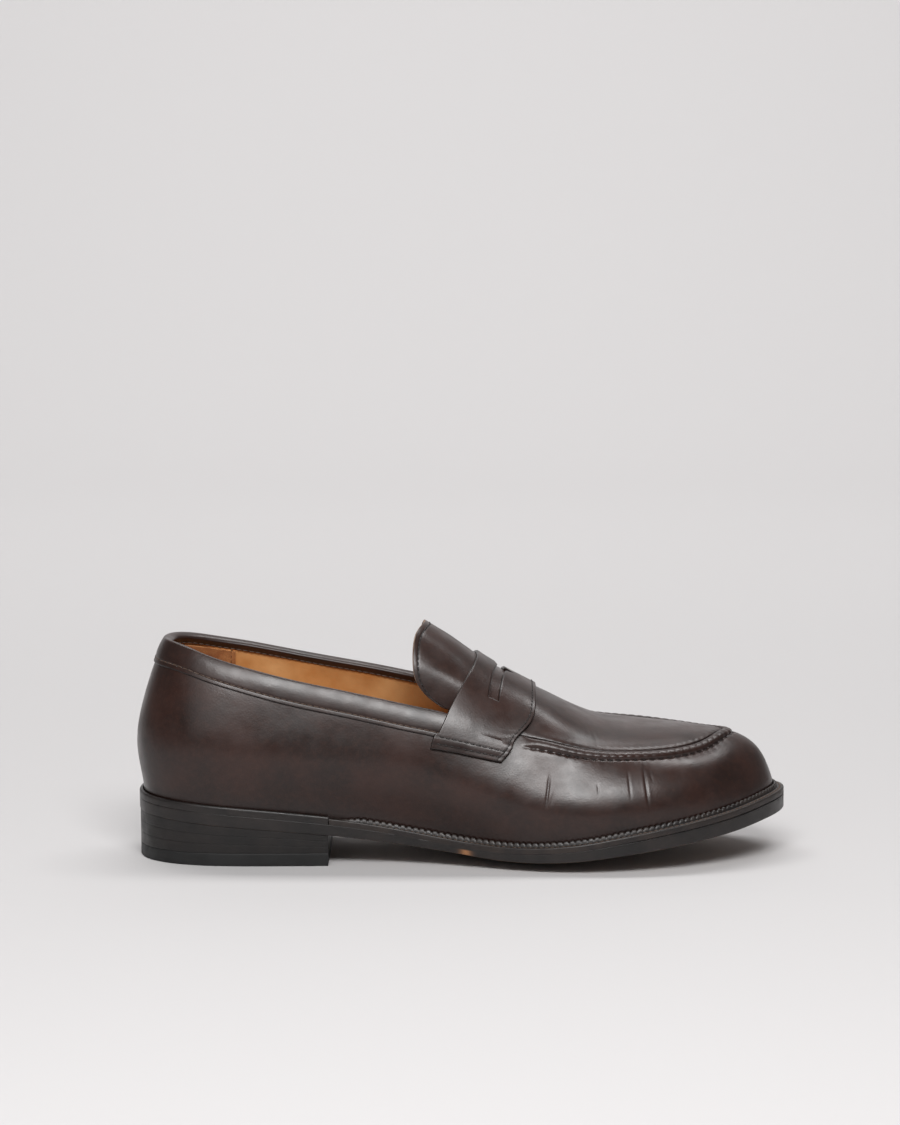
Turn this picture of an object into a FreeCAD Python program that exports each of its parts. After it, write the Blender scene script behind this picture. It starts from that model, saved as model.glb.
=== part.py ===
import FreeCAD, Part

import math
import os

from FreeCAD import Vector

# Penny loafer, right foot. Millimetres, +X to the toe, +Y to the medial side, +Z up.
# The origin is under the middle of the shoe, on the surface that it stands on.

# ---- driving dimensions -------------------------------------------------------------------
WELT = 2.8               # welt thickness
WELT_LIP = 1.9           # how far the storm lip stands above the welt
RAND = 3.5               # heel rand thickness
INSOLE = 2.6             # leather insole thickness
SOCK = 0.9               # sock liner thickness
UPPER = 1.4              # upper leather thickness
BACKING = 1.0            # counter, toe puff and interlining thickness
LINING = 0.9             # lining leather thickness
STRAP = 1.3              # saddle strap thickness
COLLAR = 0.7             # collar strip thickness on the outside of the wall
COLLAR_WIDTH = 11.5      # visible width of the collar strip
THREAD = 0.7             # sewing thread width on the surface
RUBBER = 6.0             # rubber top piece thickness
HEEL_BREAST = -61.0      # x of the heel's front face
HEEL_LIFTS = 3           # leather lifts in the heel stack
HEEL_INSET = 0.4         # the heel's face stands this far inside the outsole's edge
TOUCH = 0.06             # air left between two pieces that are glued together
PLY_GAP = 0.2            # air left between the upper's layers
ROOM = 0.35              # air left beside a curved wall
STRAP_LIFT = 0.85        # the strap lies over the collar strip's thickness
CROWN_REF = 30.0         # the instep's drop is measured this far off the crown
CROWN_POWER = 2.4        # how square-shouldered the instep section is
MEDIAL_TILT = 0.045      # the apron's medial side is higher than its lateral side
SEAM_HALF = 1.2          # half of the furrow that the apron seam's thread lies in
THREAD_RISE = 0.4        # how far a thread stands above the leather
COUNTER_END = -72.0      # x of the heel counter's front ends
PUFF_START = 96.0        # x of the toe puff's rear ends
BACKING_GAP = 2.0        # gap along the shoe between the interlining and its neighbours
QUARTER_FRONT = 10.0     # x of the quarter linings' front ends
VAMP_REAR = 12.0         # x of the vamp lining's rear ends
GRIP_FRONT = -104.0      # x of the heel grip's front ends
STEP = 1e-3              # step for the direction of a surface

# Lower and upper edges of the inner layers, as shares of the wall's height.
STIFFENER_LOW = 0.08
COUNTER_TOP = 0.70
PUFF_TOP = 0.86
LINING_LOW = 0.05
QUARTER_TOP = 0.985
VAMP_TOP = 0.88
GRIP_HEIGHTS = (0.14, 0.93)

# Distances from the upper's outer face to its inner layers.
BACK = -UPPER - PLY_GAP
INNER = BACK - BACKING - PLY_GAP

# Blanks that are larger than the whole bottom, and than the heel.
BOTTOM_X, BOTTOM_Y, BOTTOM_Z = (-160, 160), (-60, 60), (-20, 60)
HEEL_X, HEEL_Y, HEEL_Z = (-155, -50), (-45, 45), (-5, 40)
FAR = 200.0

END_SHARES = (0.04, 0.12, 0.3, 0.6)   # extra places near a sheet's ends, in parts of one step

LATERAL = -1
MEDIAL = 1

# Outline of the outsole on the ground plan, from the back of the heel round the lateral side.
OUTLINE = [
    (-149.4, 0.0), (-144.5, -18.5), (-128.0, -30.8), (-98.0, -35.2), (-62.0, -34.4),
    (-30.0, -34.2), (0.0, -39.2), (28.0, -48.0), (56.0, -52.8), (86.0, -49.6),
    (114.0, -39.0), (137.0, -21.0), (149.6, 3.0), (141.5, 25.5), (120.0, 41.0),
    (92.0, 50.2), (62.0, 53.4), (34.0, 49.2), (4.0, 38.2), (-28.0, 32.0),
    (-62.0, 33.4), (-98.0, 35.2), (-128.0, 30.8), (-144.5, 18.5),
]


def along(*pairs):
    """A smooth function of x through the given (x, value) pairs, level past both ends."""
    curve = Part.BSplineCurve()
    places = [x for x, _ in pairs]
    curve.interpolate(Points=[Vector(x, value, 0) for x, value in pairs], Parameters=places)
    return lambda x: curve.value(min(max(x, places[0]), places[-1])).y


# ---- profiles along the shoe --------------------------------------------------------------
# Height of the outsole's lower edge: heel seat slope, waist, tread and toe spring.
sole_edge = along((-150, 22.0), (-106, 18.2), (-61, 14.2), (-46, 12.5), (-21, 9.0), (0, 6.3), (14, 5.0),
                  (28, 4.6), (41, 5.1), (57, 6.6), (71, 8.6), (85, 10.5), (113, 14.4), (128, 16.9),
                  (142, 19.6), (150, 20.8))
# Outsole thickness: trimmed thin in the waist and left full at the toe.
outsole = along((-150, 5.0), (-61, 5.0), (-30, 4.2), (0, 3.5), (28, 3.9), (60, 5.0), (100, 6.2), (150, 6.5))
# How far the sole's middle hangs below its edge, and the half width that this is spread over.
sole_belly = along((-150, 0.0), (-100, 0.0), (-61, 0.2), (-30, 2.0), (0, 4.0), (28, 4.6), (41, 4.9),
                   (57, 5.0), (85, 4.4), (115, 3.2), (132, 1.8), (143, 0.7), (150, 0.0))
sole_half = along((-150, 34.0), (-61, 34.0), (-30, 33.0), (0, 38.0), (28, 48.0), (58, 53.0), (90, 50.0),
                  (114, 40.0), (130, 30.0), (142, 20.0), (150, 16.0))
# Width of the welt or rand that shows outside the upper.
welt_width = along((-150, 2.2), (-61, 2.8), (-30, 3.2), (10, 4.2), (50, 5.0), (100, 5.0), (150, 5.4))

# The upper's rows: how far each stands outside the feather line, and its height.
bulge_out = along((-148, 2.9), (-120, 4.2), (-90, 5.0), (-60, 6.2), (-30, 7.8), (0, 7.2), (30, 2.4),
                  (60, 0.7), (90, 0.2), (120, -0.6), (146, -1.6))
bulge_height = along((-148, 50.0), (-120, 48.0), (-90, 46.0), (-60, 44.0), (-30, 41.0), (0, 36.0),
                     (30, 30.0), (60, 27.0), (90, 29.0), (120, 33.0), (146, 38.0))
shoulder_out = along((-148, -1.1), (-120, 0.8), (-90, 2.2), (-60, 4.2), (-30, 6.4), (0, 4.2), (30, -3.2),
                     (60, -5.2), (90, -5.4), (120, -5.6), (146, -6.6))
shoulder_height = along((-148, 76.0), (-120, 71.5), (-90, 67.0), (-60, 63.5), (-30, 59.5), (0, 53.0),
                        (30, 44.5), (60, 40.5), (90, 41.5), (120, 44.5), (146, 47.5))
top_out = along((-148, -10.2), (-118, -8.6), (-101, -6.6), (-78, -3.6), (-57, -1.4), (-37, 0.6),
                (-20, 0.6), (-8, -0.4), (8, -3.6), (25, -7.8), (36, -9.6), (48, -11.4), (60, -12.6),
                (84, -14.0), (110, -15.2), (130, -17.0), (146, -19.4))
topline_height = along((-148, 99.9), (-132, 98.4), (-118, 94.6), (-101, 90.0), (-78, 84.3),
                       (-57, 80.0), (-37, 75.9), (-20, 72.4), (-8, 69.8), (8, 63.5))
medial_rise = along((-148, 0.0), (-130, 0.8), (-118, 2.2), (-99, 4.0), (-59, 5.2), (-30, 5.6), (-16, 5.2),
                    (0, 3.6), (12, 3.0))

# The instep: its crown, and how far the section has dropped at CROWN_REF to either side.
crown_height = along((-26, 113.2), (-17, 107.8), (-11, 103.8), (-5, 100.0), (0, 96.6), (6, 92.2),
                     (14, 87.0), (24, 81.4), (34, 76.1), (45, 70.4), (56, 64.9), (64, 62.1), (74, 60.4),
                     (90, 59.1), (106, 57.9), (118, 56.6), (128, 54.6), (140, 51.0))
crown_drop = along((-26, 32.0), (-8, 24.5), (8, 19.5), (25, 16.0), (36, 12.4), (48, 9.8), (60, 7.7),
                   (72, 7.1), (84, 8.0), (96, 10.2), (108, 15.5), (120, 28.0), (140, 60.0))
# By what share the medial side of the apron drops less than its lateral side.
medial_flat = along((30, 0.0), (62, 0.42), (104, 0.42), (122, 0.25), (136, 0.0))
crown_side = along((-26, 0.0), (30, 0.0), (80, 0.5), (128, 3.0), (140, 3.0))


# ---- geometry helpers ---------------------------------------------------------------------
def closed_curve(points):
    """A closed smooth curve through plan points, with its length so far as the parameter."""
    places = [0.0]
    for (x0, y0), (x1, y1) in zip(points, points[1:] + points[:1]):
        places.append(places[-1] + math.hypot(x1 - x0, y1 - y0))
    curve = Part.BSplineCurve()
    curve.interpolate(Points=[Vector(x, y, 0) for x, y in points], Parameters=places, PeriodicFlag=True)
    return curve


outline = closed_curve(OUTLINE)
ROUND = outline.LastParameter


def outline_at(s):
    """Plan point and outward direction of the outsole's outline at parameter s."""
    point, tangent = outline.getD1(s % ROUND)
    tangent.normalize()
    return point, Vector(tangent.y, -tangent.x, 0)


TOE = outline.parameter(Vector(OUTLINE[12][0], OUTLINE[12][1], 0))


def place_at(x, side):
    """The outline's parameter where it reaches x on the lateral or the medial side."""
    low, high = (0.0, TOE) if side == LATERAL else (ROUND, TOE)
    for _ in range(40):
        middle = (low + high) / 2
        if outline.value(middle).x < x:
            low = middle
        else:
            high = middle
    return (low + high) / 2


def spread(first, last, count):
    """Evenly spaced values from first to last, both included."""
    return [first + (last - first) * i / (count - 1) for i in range(count)]


def ends_first(first, last, count):
    """Like spread, with more values close to both ends, where a fitted surface is least exact."""
    inner = spread(first, last, count)
    lead = [inner[0] + (inner[1] - inner[0]) * share for share in END_SHARES]
    tail = [inner[-1] - (inner[1] - inner[0]) * share for share in reversed(END_SHARES)]
    return inner[:1] + lead + inner[1:-1] + tail + inner[-1:]


def smooth_step(value, low, high):
    share = min(max((value - low) / (high - low), 0.0), 1.0)
    return share * share * (3 - 2 * share)


def rail(points):
    """A smooth curve through the points; rails with equal counts share their knots."""
    curve = Part.BSplineCurve()
    curve.interpolate(Points=points, Parameters=[float(i) for i in range(len(points))])
    return curve


def between(first, second):
    """The ruled face between two rails."""
    face = Part.BSplineSurface()
    face.buildFromPolesMultsKnots(
        [first.getPoles(), second.getPoles()], [2, 2], first.getMultiplicities(),
        [0.0, 1.0], first.getKnots(), False, False, 1, first.Degree)
    return face.toShape()


def solid_of(faces):
    """Sew the faces to one closed solid that points outwards."""
    shell = Part.makeShell(faces)
    shell.sewShape(0.01)
    solid = Part.makeSolid(Part.Shell(shell.Faces))
    if solid.Volume < 0:
        solid.reverse()
    return solid


def plate(grids):
    """A closed solid between the two surfaces fitted through equal grids of points."""
    skins = []
    for grid in grids:
        skin = Part.BSplineSurface()
        skin.interpolate(grid)
        skins.append(skin)
    under, over = skins
    u0, u1, v0, v1 = under.bounds()
    w0, w1, t0, t1 = over.bounds()
    borders = [
        (under.uIso(u0), over.uIso(w0)), (under.uIso(u1), over.uIso(w1)),
        (under.vIso(v0), over.vIso(t0)), (under.vIso(v1), over.vIso(t1)),
    ]
    faces = [skin.toShape() for skin in skins]
    for lower, upper in borders:
        faces.append(Part.makeRuledSurface(lower.toShape(), upper.toShape()))
    return solid_of(faces)


def patch(position, rows, columns, low, high):
    """A sheet over position(row, column) from offset low to offset high along its normal."""
    def lifted(row, column, offset):
        here = position(row, column)
        across = position(row + STEP, column) - position(row - STEP, column)
        up = position(row, column + STEP) - position(row, column - STEP)
        normal = across.cross(up)
        normal.normalize()
        return here + normal * offset

    under = [[lifted(row, column, low) for column in columns] for row in rows]
    over = [[lifted(row, column, high) for column in columns] for row in rows]
    return plate((under, over))


def sweep(sections):
    """A bar through flat sections that all have the same number of corners."""
    corners = len(sections[0])
    rails = [rail([section[c] for section in sections]) for c in range(corners)]
    faces = [between(rails[c], rails[(c + 1) % corners]) for c in range(corners)]
    for section in (sections[0], sections[-1]):
        faces.append(Part.Face(Part.makePolygon(section + section[:1])))
    return solid_of(faces)


def slab(low, high, x_range, y_range, counts=(40, 13)):
    """A plate between two height fields low(x, y) and high(x, y) over a rectangle."""
    xs = spread(x_range[0], x_range[1], counts[0])
    ys = spread(y_range[0], y_range[1], counts[1])
    return plate([[[Vector(x, y, field(x, y)) for y in ys] for x in xs] for field in (low, high)])


def prism(edges, low, high):
    """An upright block over a closed chain of plan edges."""
    face = Part.Face(Part.Wire(edges))
    face.translate(Vector(0, 0, low))
    return face.extrude(Vector(0, 0, high - low))


def inset_prism(inset, low, high, x_from=-FAR, x_to=FAR):
    """The outsole's outline moved inwards by inset(x), cut off at x_from and x_to."""
    points = []
    for s in spread(0, ROUND, 97)[:-1]:
        point, out = outline_at(s)
        points.append(point - out * inset(point.x))
    curve = Part.BSplineCurve()
    curve.interpolate(Points=points, PeriodicFlag=True)
    block = prism([curve.toShape()], low, high)
    keep = Part.makeBox(x_to - x_from, 2 * FAR, high - low, Vector(x_from, -FAR, low))
    return block.common(keep)


def single(shape):
    """The one solid in a boolean result."""
    return max(shape.Solids, key=lambda solid: solid.Volume)


def tread(x, y):
    """Height of the outsole's lower face over a plan point."""
    share = min(abs(y) / sole_half(x), 1.2)
    return sole_edge(x) - sole_belly(x) * (1 - share * share)


def bed(level):
    """Height field of the bottom's layers, level mm above the outsole's upper face."""
    return lambda x, y: tread(x, y) + outsole(x) + level


# ---- the upper's shape --------------------------------------------------------------------
def crown(x, y):
    """Height of the instep and apron over a plan point."""
    off = y - crown_side(x)
    flat = medial_flat(x) if off > 0 else 0.0
    drop = crown_drop(x) * (1 - flat) * (abs(off) / CROWN_REF) ** CROWN_POWER
    return crown_height(x) + MEDIAL_TILT * off - drop


def wall_rows(s):
    """Points up the side wall at outline parameter s, from the welt to its top edge."""
    point, out = outline_at(s)
    foot = point - out * welt_width(point.x)
    x = foot.x
    base = sole_edge(x)
    top = foot + out * top_out(x)
    rise = medial_rise(x) if s % ROUND > TOE else 0.0
    rear = topline_height(x) + rise
    share = smooth_step(x, -12, 8)
    height = rear * (1 - share) + crown(top.x, top.y) * share
    return [
        foot + Vector(0, 0, base + outsole(x) + 0.2),
        foot + out * 0.25 + Vector(0, 0, base + outsole(x) + WELT + 1.6),
        foot + out * bulge_out(x) + Vector(0, 0, bulge_height(x)),
        foot + out * shoulder_out(x) + Vector(0, 0, shoulder_height(x)),
        top + Vector(0, 0, height),
    ]


ribs = {}


def spline_through(points):
    """A smooth curve whose parameter runs from 0 to 1 with the distance between the points."""
    places = [0.0]
    for here, there in zip(points, points[1:]):
        places.append(places[-1] + (there - here).Length)
    curve = Part.BSplineCurve()
    curve.interpolate(Points=points, Parameters=[place / places[-1] for place in places])
    return curve


def wall(s, v):
    """Outer face of the side wall: s runs round the outline and v from the welt to the top."""
    key = round(s, 5)
    if key not in ribs:
        ribs[key] = spline_through(wall_rows(s))
    return ribs[key].value(v)


def wall_sheet(s_from, s_to, v_from, v_to, low, high, counts=(90, 17)):
    """A sheet on the side wall between two places; v_from and v_to may be functions of s."""
    def position(s, share):
        bottom = v_from(s) if callable(v_from) else v_from
        top = v_to(s) if callable(v_to) else v_to
        return wall(s, bottom + (top - bottom) * share)
    return patch(position, ends_first(s_from, s_to, counts[0]), spread(0, 1, counts[1]), low, high)


def collar_seam(s):
    """How far up the wall the collar strip's lower edge lies."""
    top = wall(s, 1.0)
    lower = wall(s, 0.8)
    return 1.0 - 0.2 * COLLAR_WIDTH / (top - lower).Length


def over_instep(x, t):
    """The instep's outer face from the lateral wall (t = -1) over the crown to the medial wall."""
    key = round(x, 5)
    if key not in hoops:
        hoops[key] = hoop(x)
    return hoops[key].value(t)


def hoop(x):
    """One cross section of the instep, walls included, with t = 0 on the crown."""
    halves = []
    for side in (LATERAL, MEDIAL):
        s = place_at(x, side)
        half = [wall(s, v) for v in (0.50, 0.64, 0.78, 0.90)]
        edge = wall(s, 1.0)
        half += [Vector(x, edge.y * share, crown(x, edge.y * share)) for share in (0.97, 0.8, 0.55, 0.28)]
        halves.append(half)
    top = Vector(x, 0, crown(x, 0))
    chain = halves[0] + [top] + halves[1][::-1]
    places = [0.0]
    for here, there in zip(chain, chain[1:]):
        places.append(places[-1] + (there - here).Length)
    middle = places[len(halves[0])]
    places = [(place - middle) / (middle if place < middle else places[-1] - middle) for place in places]
    curve = Part.BSplineCurve()
    curve.interpolate(Points=chain, Parameters=places)
    return curve


hoops = {}


# ---- bottom -------------------------------------------------------------------------------
def make_outsole():
    block = slab(tread, bed(-TOUCH), BOTTOM_X, BOTTOM_Y)
    return single(block.common(inset_prism(lambda x: 0.0, *BOTTOM_Z)))


HEEL_NAIL = 1.1          # radius of the nails that hold the lifts together
HEEL_NAILS = [(-136, 0), (-122, 18), (-122, -18), (-94, 22), (-94, -22), (-72, 20), (-72, -20)]
HEEL_NAIL_FOOT = 2.5     # the nails' heads are sunk this far into the rubber
RUBBER_NAIL = 0.8        # radius of the top piece's brass nails
RUBBER_NAILS = [(-66, y) for y in (-24, -12, 0, 12, 24)] + [(-108, 28), (-108, -28)]
RUBBER_NAIL_FOOT = 0.4   # their heads lie just above the tread


def heel_seat(x):
    """Height of the heel stack's top, just under the outsole."""
    return sole_edge(x) - TOUCH


def heel_level(share):
    """Height field at a share of the leather stack between the rubber and the outsole."""
    return lambda x, y: RUBBER + (heel_seat(x) - sole_belly(x) - RUBBER) * share


def heel_block(low, high):
    blank = slab(low, high, HEEL_X, HEEL_Y, (12, 5))
    outline_block = inset_prism(lambda x: HEEL_INSET, *HEEL_Z, x_to=HEEL_BREAST)
    return single(blank.common(outline_block))


def rubber_top(x, y):
    return RUBBER - TOUCH


def nail_top(x, y):
    """The heel nails stop just under the outsole."""
    return heel_seat(x) - sole_belly(x) - TOUCH


def make_top_piece():
    block = inset_prism(lambda x: HEEL_INSET, 0.0, RUBBER - TOUCH, x_to=HEEL_BREAST)
    block = drilled(block, HEEL_NAILS, HEEL_NAIL, HEEL_NAIL_FOOT - TOUCH, nail_top)
    return drilled(block, RUBBER_NAILS, RUBBER_NAIL, -1.0, rubber_top)


def make_heel_lift(index):
    low = heel_level(index / HEEL_LIFTS)
    high = heel_level((index + 1) / HEEL_LIFTS)
    block = heel_block(low, lambda x, y: high(x, y) - TOUCH)
    return drilled(block, HEEL_NAILS, HEEL_NAIL, 0.0, lambda x, y: nail_top(x, y) + 2)


def make_heel_nails():
    return Part.makeCompound(pins(HEEL_NAILS, HEEL_NAIL, HEEL_NAIL_FOOT, nail_top))


def make_top_piece_nails():
    return Part.makeCompound(pins(RUBBER_NAILS, RUBBER_NAIL, RUBBER_NAIL_FOOT, rubber_top))


def ring_sections(s_from, s_to, count, corners):
    """Flat sections round the outline; corners(x) gives (inwards, height) pairs."""
    sections = []
    for s in spread(s_from, s_to, count):
        point, out = outline_at(s)
        section = []
        for inwards, height in corners(point.x):
            section.append(point - out * inwards + Vector(0, 0, height))
        sections.append(section)
    return sections


LIP_FOOT, LIP_CREST, LIP_BACK = 1.7, 1.2, 0.3   # the storm lip's section, outwards from the upper
WELT_START = 0.5         # the welt's ends stand this far in front of the heel's face
LOCKSTITCH_START = -40.0   # x of the outsole stitching's ends


def make_welt():
    """Storm welt from one side of the heel round the toe to the other side."""
    def corners(x):
        low = sole_edge(x) + outsole(x)
        top = low + WELT
        inner = welt_width(x) - ROOM
        return [(0.0, low), (0.0, top), (inner - LIP_FOOT, top), (inner - LIP_CREST, top + WELT_LIP),
                (inner - LIP_BACK, top + WELT_LIP), (inner, low)]
    start = place_at(HEEL_BREAST + WELT_START, LATERAL)
    end = place_at(HEEL_BREAST + WELT_START, MEDIAL)
    return sweep(ring_sections(start, end, 70, corners))


def make_heel_rand():
    """Leather rand that carries the welt's line round the back of the heel."""
    def corners(x):
        low = sole_edge(x) + outsole(x)
        inner = welt_width(x) - ROOM
        return [(0.0, low), (0.0, low + RAND), (inner, low + RAND), (inner, low)]
    start = place_at(HEEL_BREAST, MEDIAL)
    end = place_at(HEEL_BREAST, LATERAL) + ROUND
    return sweep(ring_sections(start, end, 50, corners))


def make_outsole_stitching():
    """Lockstitch thread that lies on the welt and holds it to the outsole."""
    def corners(x):
        top = sole_edge(x) + outsole(x) + WELT + TOUCH
        middle = (welt_width(x) - LIP_FOOT) / 2
        return [(middle - THREAD / 2, top), (middle - THREAD / 2, top + THREAD_RISE),
                (middle + THREAD / 2, top + THREAD_RISE), (middle + THREAD / 2, top)]
    start = place_at(LOCKSTITCH_START, LATERAL)
    end = place_at(LOCKSTITCH_START, MEDIAL)
    return sweep(ring_sections(start, end, 70, corners))


def inner_edge(extra):
    """How far inside the outsole's outline a piece that fits inside the upper ends."""
    return lambda x: welt_width(x) + UPPER + BACKING + LINING + 2 * PLY_GAP + ROOM + extra


def bottom_layer(low, high, extra, x_from=-FAR):
    blank = slab(bed(low), bed(high), BOTTOM_X, BOTTOM_Y)
    return single(blank.common(inset_prism(inner_edge(extra), *BOTTOM_Z, x_from)))


SOCK_MARGIN = 0.8        # the sock liner ends this far inside the insole


def make_insole():
    return bottom_layer(WELT, WELT + INSOLE - TOUCH, 0.0)


def make_sock_liner():
    return bottom_layer(WELT + INSOLE, WELT + INSOLE + SOCK, SOCK_MARGIN)


RIB_IN = 5.0             # the rib stands this far inside the insole's edge
RIB = 1.6                # rib thickness
RIB_CLEAR = 0.5          # air above and below it
RIB_START = 6.0          # its ends stand this far in front of the heel's face
CORK_GAP = 1.0           # air between the rib and the cork
CORK_REAR = -14.0        # x of the cork's rear end


def make_insole_rib():
    """Canvas rib under the insole that the upper, lining and welt are sewn to."""
    sections = []
    start = place_at(HEEL_BREAST + RIB_START, LATERAL)
    end = place_at(HEEL_BREAST + RIB_START, MEDIAL)
    for s in spread(start, end, 60):
        point, out = outline_at(s)
        outer = point - out * inner_edge(RIB_IN)(point.x)
        inner = outer - out * RIB
        section = []
        foot, crest = RIB_CLEAR, WELT - RIB_CLEAR
        for corner, level in ((outer, foot), (outer, crest), (inner, crest), (inner, foot)):
            section.append(corner + Vector(0, 0, bed(level)(corner.x, corner.y)))
        sections.append(section)
    return sweep(sections)


def make_cork_filler():
    return bottom_layer(0.0, WELT - TOUCH, RIB_IN + RIB + CORK_GAP, CORK_REAR)


SHANK_HALF = 7.0         # half width of the steel shank
SHANK = 1.6              # shank thickness
SHANK_LIFT = 0.6         # air under it
SHANK_X = (-112, -18)    # x of its two ends


def make_shank():
    """Spring steel shank in the waist, between the insole and the outsole."""
    width = (-SHANK_HALF, SHANK_HALF)
    return slab(bed(SHANK_LIFT), bed(SHANK_LIFT + SHANK), SHANK_X, width, (24, 5))


def pins(places, radius, low, high):
    """Round nails between two heights, as a group of separate solids."""
    return [Part.makeCylinder(radius, high(x, y) - low, Vector(x, y, low)) for x, y in places]


def drilled(block, places, radius, low, high):
    """The block with a clear hole for each nail."""
    for pin in pins(places, radius + TOUCH, low, high):
        block = block.cut(pin)
    return single(block)


# ---- upper --------------------------------------------------------------------------------
BACK_GAP = 0.25          # half of the closed back seam
UPPER_TOP = 0.99         # how far up the wall the upper's cut edge lies


def make_upper_wall():
    """Quarters and mudguard in one length of calf, joined by the back seam."""
    return wall_sheet(BACK_GAP, ROUND - BACK_GAP, 0.0, UPPER_TOP, -UPPER, 0.0, (150, 19))


COLLAR_END = -6.0        # x of the collar strip's ends, under the strap's rear edge
COLLAR_DEPTH = UPPER + BACKING + LINING + 2 * PLY_GAP + 0.1   # from the wall's face to its inner edge
ROLL_FOOT, ROLL_SHOULDER, ROLL_CREST = 0.25, 0.7, 1.3   # heights of its rolled edge above the wall
ROLL_IN = 1.2            # the crest stands this far inside the wall's face


def make_collar_strip():
    """Calf strip folded over the topline and sewn down along its lower edge."""
    start = place_at(COLLAR_END, MEDIAL)
    end = place_at(COLLAR_END, LATERAL) + ROUND
    sections = []
    for s in spread(start, end, 70):
        top = wall(s, 1.0)
        lower = wall(s, collar_seam(s))
        lean = (top - lower).normalize()
        _, out = outline_at(s)
        side = (out - lean * out.dot(lean)).normalize()
        bulge = (wall(s, (1 + collar_seam(s)) / 2) - (top + lower) / 2).dot(side)
        middle = (top + lower) / 2 + side * bulge
        sections.append([
            lower + side * PLY_GAP, middle + side * PLY_GAP, top + side * TOUCH * 2 + lean * ROLL_FOOT,
            top - side * COLLAR_DEPTH + lean * ROLL_FOOT, top - side * COLLAR_DEPTH + lean * ROLL_SHOULDER,
            top - side * ROLL_IN + lean * ROLL_CREST, top + side * COLLAR + lean * ROLL_SHOULDER,
            middle + side * COLLAR, lower + side * COLLAR,
        ])
    return sweep(sections)


APRON_REAR = 14.0        # x of the apron's straight rear edge, under the strap
APRON_X = (6, 134)       # a blank that is longer than the apron


def apron_outline():
    """Plan edges of the apron, from the strap round the toe, inside the seam's furrow."""
    points = []
    for s in spread(place_at(APRON_REAR, LATERAL), place_at(APRON_REAR, MEDIAL), 41):
        _, out = outline_at(s)
        top = wall(s, 1.0)
        points.append(Vector(top.x, top.y, 0) - out * SEAM_HALF)
    side = Part.BSplineCurve()
    side.interpolate(Points=points)
    back = Part.LineSegment(points[-1], points[0])
    return [side.toShape(), back.toShape()]


apron_half = along((6, 40.0), (48, 40.0), (84, 35.0), (108, 26.0), (122, 17.0), (136, 13.0))


def make_apron():
    """The plug over the toes, one piece of calf inside the seam."""
    def position(x, share):
        y = crown_side(x) + share * apron_half(x)
        return Vector(x, y, crown(x, y))
    sheet = patch(position, spread(*APRON_X, 50), spread(-1, 1, 25), -UPPER, 0.0)
    return single(sheet.common(prism(apron_outline(), 0.0, FAR)))


APRON_LINING_X = (15, 112)
lining_half = along((14, 29.0), (36, 30.0), (60, 29.5), (84, 25.0), (104, 15.5), (112, 10.0))


def make_apron_lining():
    """Lining leather under the apron, short of the seam all round."""
    def position(x, share):
        y = crown_side(x) + share * lining_half(x)
        return Vector(x, y, crown(x, y))
    top = -UPPER - TOUCH
    return patch(position, spread(*APRON_LINING_X, 30), spread(-1, 1, 17), top - LINING, top)


SEAM_THREAD_X = 15.0     # x of the apron thread's ends
SEAM_THREAD_IN, SEAM_THREAD_OUT = 0.9, 0.1   # its edges, inwards from the wall's top
SEAM_THREAD_LOW, SEAM_THREAD_HIGH = 0.3, 1.2   # its heights above the wall's top


def make_apron_seam_thread():
    """Waxed thread in the furrow between the apron and the wall."""
    sections = []
    low, high = Vector(0, 0, SEAM_THREAD_LOW), Vector(0, 0, SEAM_THREAD_HIGH)
    for s in spread(place_at(SEAM_THREAD_X, LATERAL), place_at(SEAM_THREAD_X, MEDIAL), 70):
        top = wall(s, 1.0)
        _, out = outline_at(s)
        inner = top - out * SEAM_THREAD_IN
        outer = top - out * SEAM_THREAD_OUT
        sections.append([inner + low, outer + low, outer + high, inner + high])
    return sweep(sections)


# ---- saddle strap -------------------------------------------------------------------------
# Edges of the strap by how far round the instep they are: 0 on the crown, 1 at the tab's end.
strap_rear = along((0.0, 6.5), (0.28, 4.0), (0.42, 0.9), (0.59, -3.3), (0.75, -7.6), (0.88, -10.8),
                   (1.0, -12.6))
strap_front = along((0.0, 33.5), (0.2, 33.4), (0.4, 33.1), (0.55, 31.5), (0.67, 28.2), (0.8, 22.6),
                    (1.0, 16.0))
TAB_REAR = 0.83          # where the tab ends at its rear corner, as a share of the half section
TAB_FRONT = 0.79         # the same at its front corner


def strap_place(across, share):
    """Point under the strap: across is -1 to 1 from tab to tab, share 0 to 1 from rear to front."""
    reach = min(abs(across), 1.0)
    rear = strap_rear(reach)
    front = strap_front(reach)
    end = TAB_REAR + (TAB_FRONT - TAB_REAR) * share
    return over_instep(rear + (front - rear) * share, across * end)


def make_saddle_strap():
    """Calf strap over the instep with the keeper slot cut through its middle."""
    sheet = patch(lambda share, across: strap_place(across, share), spread(0, 1, 9),
                  spread(-1, 1, 37), STRAP_LIFT, STRAP_LIFT + STRAP)
    return single(sheet.cut(penny_slot()))


SLOT_HALF = 24.5         # half length of the slot across the strap
SLOT_REAR = (15.6, 11.3)   # x of the slot's rear edge on the crown and at its ends
SLOT_FRONT = (19.7, 16.0)  # x of its front edge on the crown and at its ends
SLOT_NOTCH = (23.0, 3.0)   # the pointed notch in its front edge: x of its point, half width


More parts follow.
